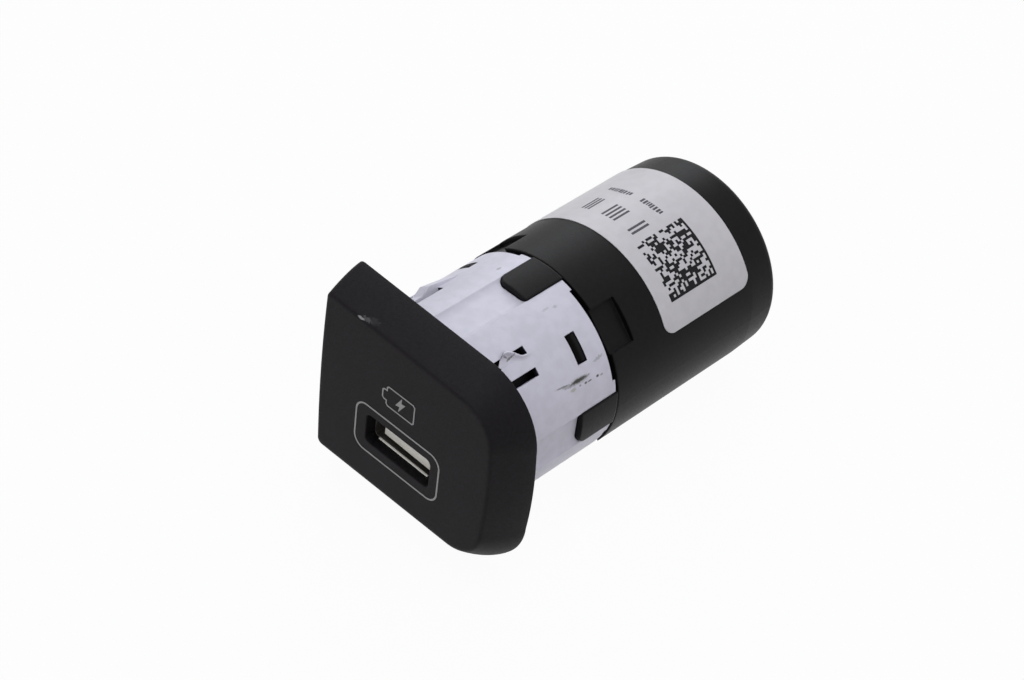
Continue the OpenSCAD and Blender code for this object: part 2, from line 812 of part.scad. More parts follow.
module usb_contact(i) {
    color("#c8a860") in_port_frame() contact_form(contact_x[i - 1]);
}

module usb_contact_1() { usb_contact(1); }
module usb_contact_2() { usb_contact(2); }
module usb_contact_3() { usb_contact(3); }
module usb_contact_4() { usb_contact(4); }

module main_board() {
    color("#2f6b45") in_port_frame() difference() {
        slab(board_y, board_end) translate([0, (board_top + board_bottom) / 2])
            square([board_w, board_t], center = true);
        for (side = [-1, 1], y = foot_ys) {
            x = side * (shell_w - shell_t) / 2;
            span([x - shell_t / 2 - foot_slot, y - foot_w / 2 - foot_slot, board_bottom - over],
                [x + shell_t / 2 + foot_slot, y + foot_w / 2 + foot_slot, board_top + over]);
        }
        for (x = contact_x) translate([x, contact_tail_y + contact_t / 2, board_bottom - over])
            cylinder(r = contact_hole_r, h = board_t + 2 * over, $fn = 24);
        for (x = pin_x) translate([x, pin_leg_y, board_bottom - over])
            cylinder(r = pin_hole_r, h = board_t + 2 * over, $fn = 24);
    }
}

// Small part that stands on the board's top face
module on_board(x, y) {
    in_port_frame() translate([x, y, board_top]) children();
}

module controller_chip() {
    lead_n = 4;
    lead_w = 0.42;
    pitch = 1.27;
    color("#1d1d1f") on_board(chip_x, chip_y) {
        translate([0, 0, chip_h / 2 + 0.05]) cube([chip_l, chip_w, chip_h - 0.1], center = true);
        for (side = [-1, 1], i = [0:lead_n - 1]) {
            x = (i - (lead_n - 1) / 2) * pitch;
            y0 = side * (chip_w / 2 - 0.1);
            y1 = side * (chip_w / 2 + chip_lead);
            span([x - lead_w / 2, min(y0, y1), 0], [x + lead_w / 2, max(y0, y1), 0.2]);
        }
    }
}

module power_inductor() {
    base_h = 0.6;
    color("#3a3b3d") on_board(0, choke_y) difference() {
        union() {
            linear_extrude(base_h) square(choke_w, center = true);
            linear_extrude(choke_h) difference() {
                square(choke_w - 0.3, center = true);
                for (a = [45:90:315]) rotate(a) translate([choke_w * 0.62 + 1, 0])
                    square([2, choke_w], center = true);
            }
        }
        translate([0, 0, choke_h - 0.4]) difference() {
            cylinder(r = choke_w * 0.42, h = 1);
            cylinder(r = choke_w * 0.3, h = 1);
        }
    }
}

// Round capacitor on a square base, with a crimp groove
module capacitor(d, h) {
    base_h = 1.2;
    linear_extrude(base_h) square(d, center = true);
    rotate_extrude() difference() {
        square([d / 2, h]);
        translate([d / 2, base_h + 1]) circle(0.4, $fn = 24);
    }
}

module input_capacitor() {
    color("#b9bbbe") on_board(0, input_cap_y) capacitor(input_cap_d, input_cap_h);
}

module output_capacitor() {
    color("#b9bbbe") on_board(output_cap_x, output_cap_y) capacitor(output_cap_d, output_cap_h);
}

// Row of chip parts along the board, centred beside the choke
module chip_row(x, n, pitch, size) {
    for (i = [0:n - 1]) on_board(x, choke_y + (i - (n - 1) / 2) * pitch)
        translate([0, 0, size[2] / 2]) cube(size, center = true);
}

module ceramic_capacitors() {
    color("#b59b78") chip_row(-row_x, ceramic_count, ceramic_pitch, [ceramic_l, ceramic_w, ceramic_h]);
}

module chip_resistors() {
    color("#232325") chip_row(row_x, resistor_count, resistor_pitch, [resistor_l, resistor_w, resistor_h]);
}

module rectifier_diode() {
    color("#262628") on_board(-edge_part_x, edge_part_y) translate([0, 0, diode_h / 2])
        cube([edge_part_w, diode_l, diode_h], center = true);
}

module input_fuse() {
    color("#a9b8a0") on_board(edge_part_x, edge_part_y) translate([0, 0, fuse_h / 2])
        cube([edge_part_w, fuse_l, fuse_h], center = true);
}

// Bent pin: a blade with a narrower tip, and a leg down through the board
pin_tip = 0.6;
module pin_form(x) {
    leg_y = pin_leg_y - pin_t / 2;
    span([x - pin_w / 2, leg_y, pin_z - pin_t / 2],
        [x + pin_w / 2, pin_end - pin_tip, pin_z + pin_t / 2]);
    span([x - pin_w / 4, pin_end - 2 * pin_tip, pin_z - pin_t / 4],
        [x + pin_w / 4, pin_end, pin_z + pin_t / 4]);
    span([x - pin_w / 3, leg_y, tail_low], [x + pin_w / 3, leg_y + pin_t, pin_z]);
}

module connector_header() {
    key_w = 2;
    key_h = 0.7;
    color("#1f2022") in_port_frame() difference() {
        union() {
            slab(conn_y, conn_end) translate([0, conn_z]) difference() {
                rounded(conn_w, conn_h, 0.6);
                rounded(conn_in_w, conn_in_h, 0.5);
            }
            slab(conn_y, conn_y + conn_floor) translate([0, conn_z]) rounded(conn_w - 0.2, conn_h - 0.2, 0.5);
            for (x = [-3, 3]) span([x - key_w / 2, conn_y + 1, conn_z + conn_in_h / 2 - key_h],
                [x + key_w / 2, conn_end - 1.5, conn_z + conn_in_h / 2 + 0.2]);
        }
        for (x = pin_x) pin_form(x);
    }
}

module terminal_pin(i) {
    color("#d0cdc6") in_port_frame() pin_form(pin_x[i - 1]);
}

module terminal_pin_1() { terminal_pin(1); }
module terminal_pin_2() { terminal_pin(2); }
module terminal_pin_3() { terminal_pin(3); }
module terminal_pin_4() { terminal_pin(4); }

front_bezel();
mounting_sleeve();
front_housing();
rear_housing();
rating_label();
usb_shell();
usb_insulator();
usb_contact_1();
usb_contact_2();
usb_contact_3();
usb_contact_4();
main_board();
controller_chip();
power_inductor();
input_capacitor();
output_capacitor();
ceramic_capacitors();
chip_resistors();
rectifier_diode();
input_fuse();
connector_header();
terminal_pin_1();
terminal_pin_2();
terminal_pin_3();
terminal_pin_4();
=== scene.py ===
"""Looks of a round push-in USB socket for a car: finishes, printed marks, wear, light and camera.

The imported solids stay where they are. The bezel is drawn again as one smooth shell, and the printing,
the torn barb and every finish are added here. Sizes in the classes are millimetres, in the part's frame:
the face is at y = 0, the body runs back along +Y, +Z is up and +X is to the right.
"""

from __future__ import annotations

import json
import logging
import math
import random
from dataclasses import dataclass, field
from enum import Enum
from itertools import groupby, product
from typing import Callable, Iterator, Sequence

import bmesh
import bpy
from bmesh.types import BMVert
from bpy.types import ID, Material, Node, NodeSocket, NodeTree, Object
from mathutils import Matrix, Vector

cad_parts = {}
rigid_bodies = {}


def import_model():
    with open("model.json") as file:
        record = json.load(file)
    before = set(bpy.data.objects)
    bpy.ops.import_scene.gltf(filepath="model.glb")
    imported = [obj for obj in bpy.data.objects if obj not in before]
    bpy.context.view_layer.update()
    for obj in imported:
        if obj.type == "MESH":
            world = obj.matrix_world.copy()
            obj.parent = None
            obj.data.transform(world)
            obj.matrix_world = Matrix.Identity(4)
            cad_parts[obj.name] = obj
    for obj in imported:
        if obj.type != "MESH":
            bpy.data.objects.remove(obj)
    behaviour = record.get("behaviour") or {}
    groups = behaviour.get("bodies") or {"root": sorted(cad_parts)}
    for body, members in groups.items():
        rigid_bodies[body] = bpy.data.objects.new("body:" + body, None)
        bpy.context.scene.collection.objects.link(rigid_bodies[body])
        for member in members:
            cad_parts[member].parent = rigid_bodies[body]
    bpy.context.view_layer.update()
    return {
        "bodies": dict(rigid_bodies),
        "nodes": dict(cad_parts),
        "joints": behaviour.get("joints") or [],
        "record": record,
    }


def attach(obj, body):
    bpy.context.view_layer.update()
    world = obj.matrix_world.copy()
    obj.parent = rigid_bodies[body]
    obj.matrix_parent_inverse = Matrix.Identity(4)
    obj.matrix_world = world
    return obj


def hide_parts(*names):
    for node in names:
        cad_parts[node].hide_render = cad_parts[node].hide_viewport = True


LOG = logging.getLogger("usb_socket")
MM = 0.001
ROOT = "root"
BODY_RADIUS = 16.0

Point2 = tuple[float, float]
Point3 = tuple[float, float, float]
Color = tuple[float, float, float]
Rgba = tuple[float, float, float, float]
Points = Sequence[Sequence[float]]
Ring = list[BMVert]


class Gloss(Enum):
    """Roughness of the finishes, from dull to bright."""

    DULL = 0.7
    MATTE = 0.55
    SATIN = 0.42
    SMOOTH = 0.3
    BRIGHT = 0.2


class Grain(Enum):
    """Moulded surface grain as (size of a grain in mm, its depth in mm)."""

    SPARK = (0.2, 0.04)
    FINE = (0.24, 0.016)
    SMOOTH = (0.6, 0.004)


def linear(color: Color) -> Rgba:
    """Turns sRGB shares into the linear colour, with an alpha of 1, that sockets hold."""
    shares = [c / 12.92 if c <= 0.04045 else ((c + 0.055) / 1.055) ** 2.4 for c in color]
    return (shares[0], shares[1], shares[2], 1.0)


def around(radius: float, y: float, angle: float) -> Vector:
    """Point on a cylinder about the body's axis, at an angle in degrees from +X towards +Z."""
    turn = math.radians(angle)
    return Vector((radius * math.cos(turn), y, radius * math.sin(turn)))


def arc(x: float, z: float, radius: float, start: float, end: float, steps: int) -> list[Point2]:
    """Points of an arc about (x, z) from one angle to another, in degrees, both ends included."""
    turns = [math.radians(start + (end - start) * i / steps) for i in range(steps + 1)]
    return [(x + radius * math.cos(a), z + radius * math.sin(a)) for a in turns]


def quarter(steps: int) -> list[float]:
    """Angles over a quarter turn, both ends included."""
    return [math.pi / 2 * k / steps for k in range(steps + 1)]


def rounded_loop(width: float, height: float, radius: float, steps: int = 8) -> list[Point2]:
    """Rounded rectangle about the origin, anticlockwise from its right side's foot.

    Args:
        width: Overall width.
        height: Overall height.
        radius: Corner radius.
        steps: Stretches in each corner.

    Returns:
        The points as (x, z).
    """
    w, h = width / 2 - radius, height / 2 - radius
    corners = ((w, -h, -90), (w, h, 0), (-w, h, 90), (-w, -h, 180))
    return [p for x, z, a in corners for p in arc(x, z, radius, a, a + 90, steps)]


def add_object(name: str, data: ID) -> Object:
    """Adds a mesh, a lamp or a camera to the scene.

    Args:
        name: The object's name.
        data: What it shows.

    Returns:
        The object.
    """
    added = bpy.data.objects.new(name, data)
    bpy.context.scene.collection.objects.link(added)
    return added


class MeshPiece:
    """A mesh in the making, with points given in millimetres."""

    def __init__(self, name: str) -> None:
        """Starts an empty mesh for the piece of that name."""
        self.name = name
        self.bm = bmesh.new()

    def ring(self, points: Points) -> Ring:
        """Adds points (x, y, z), without edges, and returns their vertices."""
        return [self.bm.verts.new(Vector(p) * MM) for p in points]

    def skin(self, rings: Sequence[Ring]) -> None:
        """Joins each ring to the next one with quads.

        Args:
            rings: Closed rings with the same number of points.
        """
        for first, second in zip(rings, rings[1:]):
            for i, vert in enumerate(first):
                j = (i + 1) % len(first)
                self.bm.faces.new((vert, first[j], second[j], second[i]))

    def fill(self, *rings: Ring) -> None:
        """Fills the flat area between closed rings, the first one outside.

        Args:
            *rings: The outline and its holes.
        """
        edges = []
        for ring in rings:
            for i, vert in enumerate(ring):
                other = ring[(i + 1) % len(ring)]
                edges.append(self.bm.edges.get((vert, other)) or self.bm.edges.new((vert, other)))
        bmesh.ops.triangle_fill(self.bm, edges=edges, use_beauty=True, use_dissolve=False)

    def slab(self, low: Points, high: Points) -> None:
        """Closed solid between two outlines with the same number of points.

        Args:
            low: One face's outline.
            high: The other face's outline.
        """
        bottom, top = self.ring(low), self.ring(high)
        self.skin([bottom, top])
        self.bm.faces.new(bottom[::-1])
        self.bm.faces.new(top)

    def done(self, material: Material, sharp: float = 35.0, smooth: bool = True) -> Object:
        """Turns the mesh into a piece that rides on the body.

        Args:
            material: Its finish.
            sharp: Angle from which an edge stays sharp, in degrees.
            smooth: Whether its faces are shaded smooth.

        Returns:
            The new object.
        """
        bmesh.ops.recalc_face_normals(self.bm, faces=self.bm.faces)
        mesh = bpy.data.meshes.new(self.name)
        self.bm.to_mesh(mesh)
        self.bm.free()
        mesh.polygons.foreach_set("use_smooth", [smooth] * len(mesh.polygons))
        if smooth:
            mesh.set_sharp_from_angle(angle=math.radians(sharp))
        mesh.materials.append(material)
        piece = add_object(self.name, mesh)
        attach(piece, ROOT)
        LOG.info("%s: %d faces", self.name, len(mesh.polygons))
        return piece


@dataclass
class Graph:
    """Short ways to add nodes to a shader tree and link them."""

    tree: NodeTree

    def add(self, kind: str, inputs: dict | None = None, **settings: object) -> Node:
        """Adds a node.

        Args:
            kind: The node's type, without its ShaderNode prefix.
            inputs: Values or source sockets for its inputs, by name or number.
            **settings: Properties of the node.

        Returns:
            The new node.
        """
        node = self.tree.nodes.new("ShaderNode" + kind)
        for name, value in settings.items():
            setattr(node, name, value)
        self.set(node, inputs or {})
        return node

    def set(self, node: Node, inputs: dict) -> None:
        """Links or sets inputs of a node, by name or number."""
        for name, value in inputs.items():
            self.feed(node.inputs[name], value)

    def use(self, tree: NodeTree, **inputs: object) -> Node:
        """Places a node group, with values or source sockets for its inputs."""
        return self.add("Group", inputs, node_tree=tree)

    def feed(self, target: NodeSocket, value: object) -> None:
        """Links a socket, or sets its own value.

        Args:
            target: The input.
            value: A source socket, or a plain value.
        """
        if isinstance(value, NodeSocket):
            self.tree.links.new(value, target)
        else:
            target.default_value = value

    def math(self, operation: str, a: object, b: object = 0.0, clamp: bool = False) -> NodeSocket:
        """Adds a Math node. With clamp, its result stays from 0 to 1."""
        return self.add("Math", {0: a, 1: b}, operation=operation, use_clamp=clamp).outputs[0]

    def noise(self, place: object, scale: object, detail: float, rough: float = 0.5) -> NodeSocket:
        """Adds a noise texture."""
        inputs = {"Vector": place, "Scale": scale, "Detail": detail, "Roughness": rough}
        return self.add("TexNoise", inputs).outputs[0]

    def blend(self, share: object, a: object, b: object) -> NodeSocket:
        """Mixes two colours. The share says how much of the second one shows."""
        return self.add("Mix", {0: share, 6: a, 7: b}, data_type="RGBA").outputs[2]

    def ramp(self, value: object, low: float, high: float, to_low: float = 0.0,
             to_high: float = 1.0) -> NodeSocket:
        """Maps the range from low to high onto that from to_low to to_high, with soft ends."""
        inputs = {0: value, 1: low, 2: high, 3: to_low, 4: to_high}
        return self.add("MapRange", inputs, interpolation_type="SMOOTHSTEP").outputs[0]


def new_material(name: str) -> tuple[Material, Graph, Node]:
    """Starts a material.

    Args:
        name: Its name.

    Returns:
        The material, its nodes and its shader.
    """
    material = bpy.data.materials.new(name)
    material.use_nodes = True
    graph = Graph(material.node_tree)
    return material, graph, graph.tree.nodes["Principled BSDF"]


@dataclass
class Group(Graph):
    """A node group in the making."""

    source: Node
    result: Node

    def given(self, name: str) -> NodeSocket:
        """What comes in at one of the group's inputs."""
        return self.source.outputs[name]

    def put(self, name: str, value: object) -> None:
        """Sets what goes out at one of the group's outputs."""
        self.feed(self.result.inputs[name], value)


@dataclass
class Effects:
    """Node groups that several finishes share. Each is made once, when it is first asked for.

    The ranges say where a mask starts and where it is full.
    """

    slow_share: float = 0.03
    middle_share: float = 0.35
    shade_range: Point2 = (0.3, 0.7)
    edge_range: Point2 = (0.99, 0.8)
    across_range: Point2 = (0.6, 0.9)
    wall_range: Point2 = (0.92, 0.7)
    deep_range: Point2 = (0.42, 0.2)
    spot_range: Point2 = (1.0, 0.45)
    made: dict[str, NodeTree] = field(default_factory=dict)

    def group(self, name: str, inputs: dict[str, str], outputs: dict[str, str],
              draw: Callable[[Group], None]) -> NodeTree:
        """Makes a group, or finds it again.

        Args:
            name: The group's name.
            inputs: Its inputs' names, each with its kind of socket.
            outputs: Its outputs' names, each with its kind of socket.
            draw: Adds the nodes between its input and output nodes.

        Returns:
            The group's tree.
        """
        if name not in self.made:
            tree = bpy.data.node_groups.new(name, "ShaderNodeTree")
            for way, sockets in (("INPUT", inputs), ("OUTPUT", outputs)):
                for label, kind in sockets.items():
                    tree.interface.new_socket(label, in_out=way, socket_type="NodeSocket" + kind)
            draw(Group(tree, tree.nodes.new("NodeGroupInput"), tree.nodes.new("NodeGroupOutput")))
            self.made[name] = tree
        return self.made[name]

    def grain(self) -> NodeTree:
        """Moulded grain: a height for bump, and a slow, a middle and a fine shade."""
        shades = {"Height": "Float", "Slow": "Float", "Middle": "Float", "Fine": "Float"}
        return self.group("grain", {"Scale": "Float"}, shades, self.draw_grain)

    def draw_grain(self, group: Group) -> None:
        """Draws the moulded grain.

        Args:
            group: The group in the making.
        """
        place = group.add("TexCoord").outputs["Object"]
        scale = group.given("Scale")
        fine = group.noise(place, scale, detail=3.0, rough=0.65)
        slow = group.noise(place, group.math("MULTIPLY", scale, self.slow_share), detail=4.0)
        middle = group.noise(place, group.math("MULTIPLY", scale, self.middle_share), detail=2.0)
        group.put("Height", fine)
        for name, noise in (("Slow", slow), ("Middle", middle), ("Fine", fine)):
            group.put(name, group.ramp(noise, *self.shade_range))

    def soft_edge(self) -> NodeTree:
        """Normal that rounds sharp edges, and a mask of where the edges are."""
        return self.group("soft_edge", {"Radius": "Float"}, {"Normal": "Vector", "Mask": "Float"},
                          self.draw_soft_edge)

    def draw_soft_edge(self, group: Group) -> None:
        """Draws the rounding of sharp edges.

        Args:
            group: The group in the making.
        """
        round_normal = group.add("Bevel", {"Radius": group.given("Radius")}, samples=6).outputs[0]
        true_normal = group.add("NewGeometry").outputs["Normal"]
        likeness = group.add("VectorMath", {0: round_normal, 1: true_normal}, operation="DOT_PRODUCT")
        group.put("Normal", round_normal)
        group.put("Mask", group.ramp(likeness.outputs["Value"], *self.edge_range))

    def recess(self) -> NodeTree:
        """Mask of painted shade in narrow slots, where little light gets in. Their walls across the axis are
        dark all over.
        """
        return self.group("recess", {"Reach": "Float"}, {"Mask": "Float"}, self.draw_recess)

    def draw_recess(self, group: Group) -> None:
        """Draws the painted shade of narrow slots.

        Args:
            group: The group in the making.
        """
        hidden = group.add("AmbientOcclusion", {"Distance": group.given("Reach")}, samples=12).outputs["AO"]
        apart = group.add("SeparateXYZ", {0: group.add("NewGeometry").outputs["True Normal"]})
        across = group.ramp(group.math("ABSOLUTE", apart.outputs[1]), *self.across_range)
        walls = group.math("MULTIPLY", group.ramp(hidden, *self.wall_range), across)
        group.put("Mask", group.math("MAXIMUM", walls, group.ramp(hidden, *self.deep_range)))

    def spot(self, name: str, draw: Callable[[Group], None]) -> NodeTree:
        """Makes one of the two kinds of spot, whose nodes draw adds, or finds it again."""
        inputs = {"Centre": "Vector", "Turn": "Float", "Size": "Vector", "Ragged": "Float", "Scale": "Float"}
        return self.group(name, inputs, {"Mask": "Float"}, draw)

    def patch(self) -> NodeTree:
        """Mask of a ragged spot about a point, in metres."""
        return self.spot("patch", self.draw_patch)

    def draw_patch(self, group: Group) -> None:
        """Draws a spot in space."""
        self.draw_ragged(group, group.add("TexCoord").outputs["Object"])

    def streak(self) -> NodeTree:
        """Mask of a ragged spot on the round body: X is along the axis and Y is the way round it."""
        return self.spot("streak", self.draw_streak)

    def draw_streak(self, group: Group) -> None:
        """Draws a spot on the round body.

        Args:
            group: The group in the making.
        """
        apart = group.add("SeparateXYZ", {0: group.add("TexCoord").outputs["Object"]})
        turn = group.math("ARCTAN2", apart.outputs[2], apart.outputs[0])
        arc_length = group.math("MULTIPLY", turn, BODY_RADIUS * MM)
        self.draw_ragged(group, group.add("CombineXYZ", {0: apart.outputs[1], 1: arc_length}).outputs[0])

    def draw_ragged(self, group: Group, place: NodeSocket) -> None:
        """Draws what both kinds of spot share.

        Args:
            group: The group in the making.
            place: The point that is being shaded.
        """
        away = group.add("VectorMath", {0: place, 1: group.given("Centre")}, operation="SUBTRACT")
        turned = group.add("VectorRotate", {"Vector": away.outputs[0], "Angle": group.given("Turn")},
                           rotation_type="Z_AXIS")
        sized = group.add("VectorMath", {0: turned.outputs[0], 1: group.given("Size")}, operation="DIVIDE")
        distance = group.add("VectorMath", {0: sized.outputs[0]}, operation="LENGTH").outputs["Value"]
        noise = group.noise(place, group.given("Scale"), detail=5.0, rough=0.7)
        lump = group.math("MULTIPLY", group.math("SUBTRACT", noise, 0.5), group.given("Ragged"))
        group.put("Mask", group.ramp(group.math("ADD", distance, lump), *self.spot_range))


@dataclass(frozen=True)
class Mark:
    """A scuff, smear or stain on a surface."""

    centre: Point3
    size: Point3
    color: Color
    strength: float
    turn: float = 0.0
    ragged: float = 3.0
    scale_mm: float = 1.2

    def mask(self, effects: Effects) -> NodeTree:
        """The group that draws the mark's shape."""
        return effects.patch()

    def paint(self, graph: Graph, effects: Effects, under: NodeSocket) -> NodeSocket:
        """Lays the mark over a colour.

        Args:
            graph: The material's nodes.
            effects: The shared groups.
            under: The colour below.

        Returns:
            The colour with the mark on it.
        """
        centre, size = [c * MM for c in self.centre], [s * MM for s in self.size]
        spot = graph.use(self.mask(effects), Centre=centre, Turn=math.radians(self.turn), Size=size,
                         Ragged=self.ragged, Scale=1 / (self.scale_mm * MM))
        share = graph.math("MULTIPLY", spot.outputs["Mask"], self.strength)
        return graph.blend(share, under, linear(self.color))


@dataclass(frozen=True)
class BodyMark(Mark):
    """A mark on the round body: X is along the axis and Y is the way round it."""

    def mask(self, effects: Effects) -> NodeTree:
        """The group that draws the mark's shape."""
        return effects.streak()


@dataclass(frozen=True)
class Moulded:
    """Moulded plastic, or any other dull solid, with grain, soft edges and marks, a painted highlight along
    edges and painted shade in narrow slots.
    """

    name: str
    color: Color
    gloss: Gloss
    grain: Grain = Grain.FINE
    edge_mm: float = 0.12
    edge_highlight: float = 0.1
    mottle: float = 0.06
    speckle: float = 0.02
    specular: float = 0.5
    recess: Color | None = None
    recess_mm: float = 1.6
    edge_lift: float = 0.25
    rough_spread: float = 0.1
    marks: tuple[Mark, ...] = ()

    def build(self, effects: Effects) -> Material:
        """Makes the material.

        Args:
            effects: The shared groups.

        Returns:
            The material.
        """
        material, graph, shader = new_material(self.name)
        size, depth = self.grain.value
        grain = graph.use(effects.grain(), Scale=1 / (size * MM))
        edge = graph.use(effects.soft_edge(), Radius=self.edge_mm * MM)
        dark, pale = (graph.blend(grain.outputs["Slow"], self.tinted(middle - self.mottle),
                                  self.tinted(middle + self.mottle))
                      for middle in (1 - self.speckle, 1 + self.speckle))
        base = graph.blend(grain.outputs["Middle"], dark, pale)
        # Painted highlight: the colour turns paler along sharp edges.
        light = graph.math("MULTIPLY", edge.outputs["Mask"], self.edge_highlight)
        base = graph.blend(light, base, linear(tuple(min(1.0, c + self.edge_lift) for c in self.color)))
        for mark in self.marks:
            base = mark.paint(graph, effects, base)
        # Painted shade: narrow slots take the darker colour given for them.
        if self.recess:
            deep = graph.use(effects.recess(), Reach=self.recess_mm * MM)
            base = graph.blend(deep.outputs["Mask"], base, linear(self.recess))
        spread = graph.math("MULTIPLY", grain.outputs["Fine"], self.rough_spread)
        rough = graph.math("ADD", spread, self.gloss.value - self.rough_spread / 2)
        bump = graph.add("Bump", {"Strength": 1.0, "Distance": depth * MM, "Height": grain.outputs["Height"],
                                  "Normal": edge.outputs["Normal"]})
        graph.set(shader, {"Base Color": base, "Roughness": rough, "Normal": bump.outputs[0],
                           "Specular IOR Level": self.specular})
        return material

    def tinted(self, share: float) -> Rgba:
        """The colour made lighter or darker by a share, as sockets hold it."""
        return linear(tuple(min(1.0, c * share) for c in self.color))


@dataclass(frozen=True)
class Plated:
    """Bare or plated sheet metal, faintly brushed along the part."""

    name: str
    color: Color
    gloss: Gloss
    tarnish: float = 0.12
    tarnish_mm: float = 0.4
    metallic: float = 1.0
    brushing: Point3 = (9000.0, 500.0, 9000.0)
    brush_mm: float = 0.002
    rough_spread: float = 0.16
    rough_drop: float = 0.06
    edge_mm: float = 0.05

    def build(self, effects: Effects) -> Material:
        """Makes the material.

        Args:
            effects: The shared groups.

        Returns:
            The material.
        """
        material, graph, shader = new_material(self.name)
        place = graph.add("TexCoord").outputs["Object"]
        drawn = graph.add("Mapping", {"Vector": place, "Scale": self.brushing})
        lines = graph.noise(drawn.outputs[0], 1.0, detail=2.0)
        grain = graph.use(effects.grain(), Scale=1 / (self.tarnish_mm * MM))
        dull = tuple(c * (1 - self.tarnish) for c in self.color)
        base = graph.blend(grain.outputs["Slow"], linear(self.color), linear(dull))
        spread = graph.math("MULTIPLY", lines, self.rough_spread)
        rough = graph.math("ADD", spread, self.gloss.value - self.rough_drop)
        edge = graph.use(effects.soft_edge(), Radius=self.edge_mm * MM)
        bump = graph.add("Bump", {"Strength": 0.5, "Distance": self.brush_mm * MM, "Height": lines,
                                  "Normal": edge.outputs["Normal"]})
        graph.set(shader, {"Base Color": base, "Roughness": rough, "Normal": bump.outputs[0],
                           "Metallic": self.metallic})
        return material


@dataclass(frozen=True)
class Ink:
    """Printed ink with a little break-up and wear."""

    name: str
    color: Color
    under: Color
    wear: float = 0.25
    specular: float = 0.4
    gloss: Gloss = Gloss.MATTE
    grain_mm: float = 0.12
    bump_mm: float = 0.004

    def build(self, effects: Effects) -> Material:
        """Makes the material.

        Args:
            effects: The shared groups.

        Returns:
            The material.
        """
        material, graph, shader = new_material(self.name)
        grain = graph.use(effects.grain(), Scale=1 / (self.grain_mm * MM))
        thin = graph.math("MULTIPLY", grain.outputs["Fine"], self.wear)
        base = graph.blend(thin, linear(self.color), linear(self.under))
        bump = graph.add("Bump", {"Strength": 0.6, "Distance": self.bump_mm * MM,
                                  "Height": grain.outputs["Height"]})
        graph.set(shader, {"Base Color": base, "Roughness": self.gloss.value, "Normal": bump.outputs[0],
                           "Specular IOR Level": self.specular})
        return material


BLACK_INK = (0.07, 0.07, 0.08)
FILM = (0.83, 0.817, 0.83)
SLEEVE = (0.855, 0.845, 0.895)
# Dark dirt on the sleeve, and the painted shade in the torn barb's crease.
DIRT_AND_SHADE = (0.22, 0.22, 0.19)
SMUDGE = (0.5, 0.49, 0.5)
STAIN = (0.6, 0.6, 0.44)
SCUFF = (0.62, 0.61, 0.62)
# Colour of the painted shade in the sleeve's narrow slots.
SHADE = (0.1, 0.09, 0.12)

BEZEL_MARKS = (
    Mark((-9.0, 0.2, 15.7), (0.75, 0.28, 0.2), SCUFF, 0.8, ragged=1.6, scale_mm=0.35),
    Mark((-8.2, 0.5, 15.8), (1.0, 0.45, 0.4), SCUFF, 0.18, ragged=2.4, scale_mm=0.35),
    Mark((-7.2, 0.9, 15.9), (1.1, 0.8, 0.5), SCUFF, 0.05, ragged=2.4, scale_mm=0.5),
)
# Place, size, colour, strength, turn, raggedness and the size of its lumps.
SLEEVE_MARK_ROWS: tuple[tuple[Point2, Point2, Color, float, float, float, float], ...] = (
    ((21.2, 8.25), (2.6, 0.7), SMUDGE, 0.3, 2.0, 1.8, 0.6),
    ((19.8, 7.44), (0.7, 0.35), STAIN, 0.5, 0.0, 1.2, 0.5),
    ((21.3, 8.3), (2.2, 0.42), DIRT_AND_SHADE, 0.92, 1.0, 1.4, 0.35),
    ((20.9, 8.32), (1.4, 0.26), DIRT_AND_SHADE, 0.85, 0.0, 1.0, 0.3),
    ((18.0, 8.72), (1.8, 0.17), DIRT_AND_SHADE, 0.6, 7.0, 1.5, 0.25),
    ((19.0, 8.35), (1.4, 0.38), SMUDGE, 0.5, 9.0, 2.0, 0.35),
    ((21.2, 7.48), (0.28, 0.2), SMUDGE, 0.7, 0.0, 0.8, 0.3),
    ((22.3, 7.37), (0.34, 0.24), DIRT_AND_SHADE, 0.85, 0.0, 0.5, 0.3),
    ((23.1, 7.32), (0.55, 0.16), DIRT_AND_SHADE, 0.8, 0.0, 0.6, 0.3),
    ((24.7, 7.3), (0.36, 0.26), DIRT_AND_SHADE, 0.95, 0.0, 0.5, 0.3),
    ((25.5, 7.15), (0.4, 0.22), SMUDGE, 0.6, 0.0, 1.0, 0.3),
    ((25.7, 9.65), (1.2, 0.35), SMUDGE, 0.45, -8.0, 2.6, 0.3),
    # Three dark spots in the crease of the torn barb: painted shade.
    ((11.9, 16.3), (0.7, 0.2), DIRT_AND_SHADE, 0.7, -12.0, 1.6, 0.25),
    ((11.35, 16.75), (0.55, 0.14), DIRT_AND_SHADE, 0.6, 35.0, 1.6, 0.25),
    ((12.7, 16.45), (0.6, 0.12), DIRT_AND_SHADE, 0.5, -20.0, 1.6, 0.25),
    ((22.96, 30.0), (0.6, 0.35), SMUDGE, 0.5, 0.0, 1.2, 0.5),
    ((23.4, 36.0), (0.8, 0.35), SMUDGE, 0.5, 0.0, 1.6, 0.5),
    ((23.6, 19.2), (0.5, 0.3), SMUDGE, 0.35, 0.0, 1.8, 0.4),
    ((22.0, 19.6), (0.9, 0.25), SMUDGE, 0.25, 0.0, 2.0, 0.4),
)
SLEEVE_MARKS = tuple(BodyMark((*place, 0.0), (*size, 1.0), *rest) for place, size, *rest in SLEEVE_MARK_ROWS)


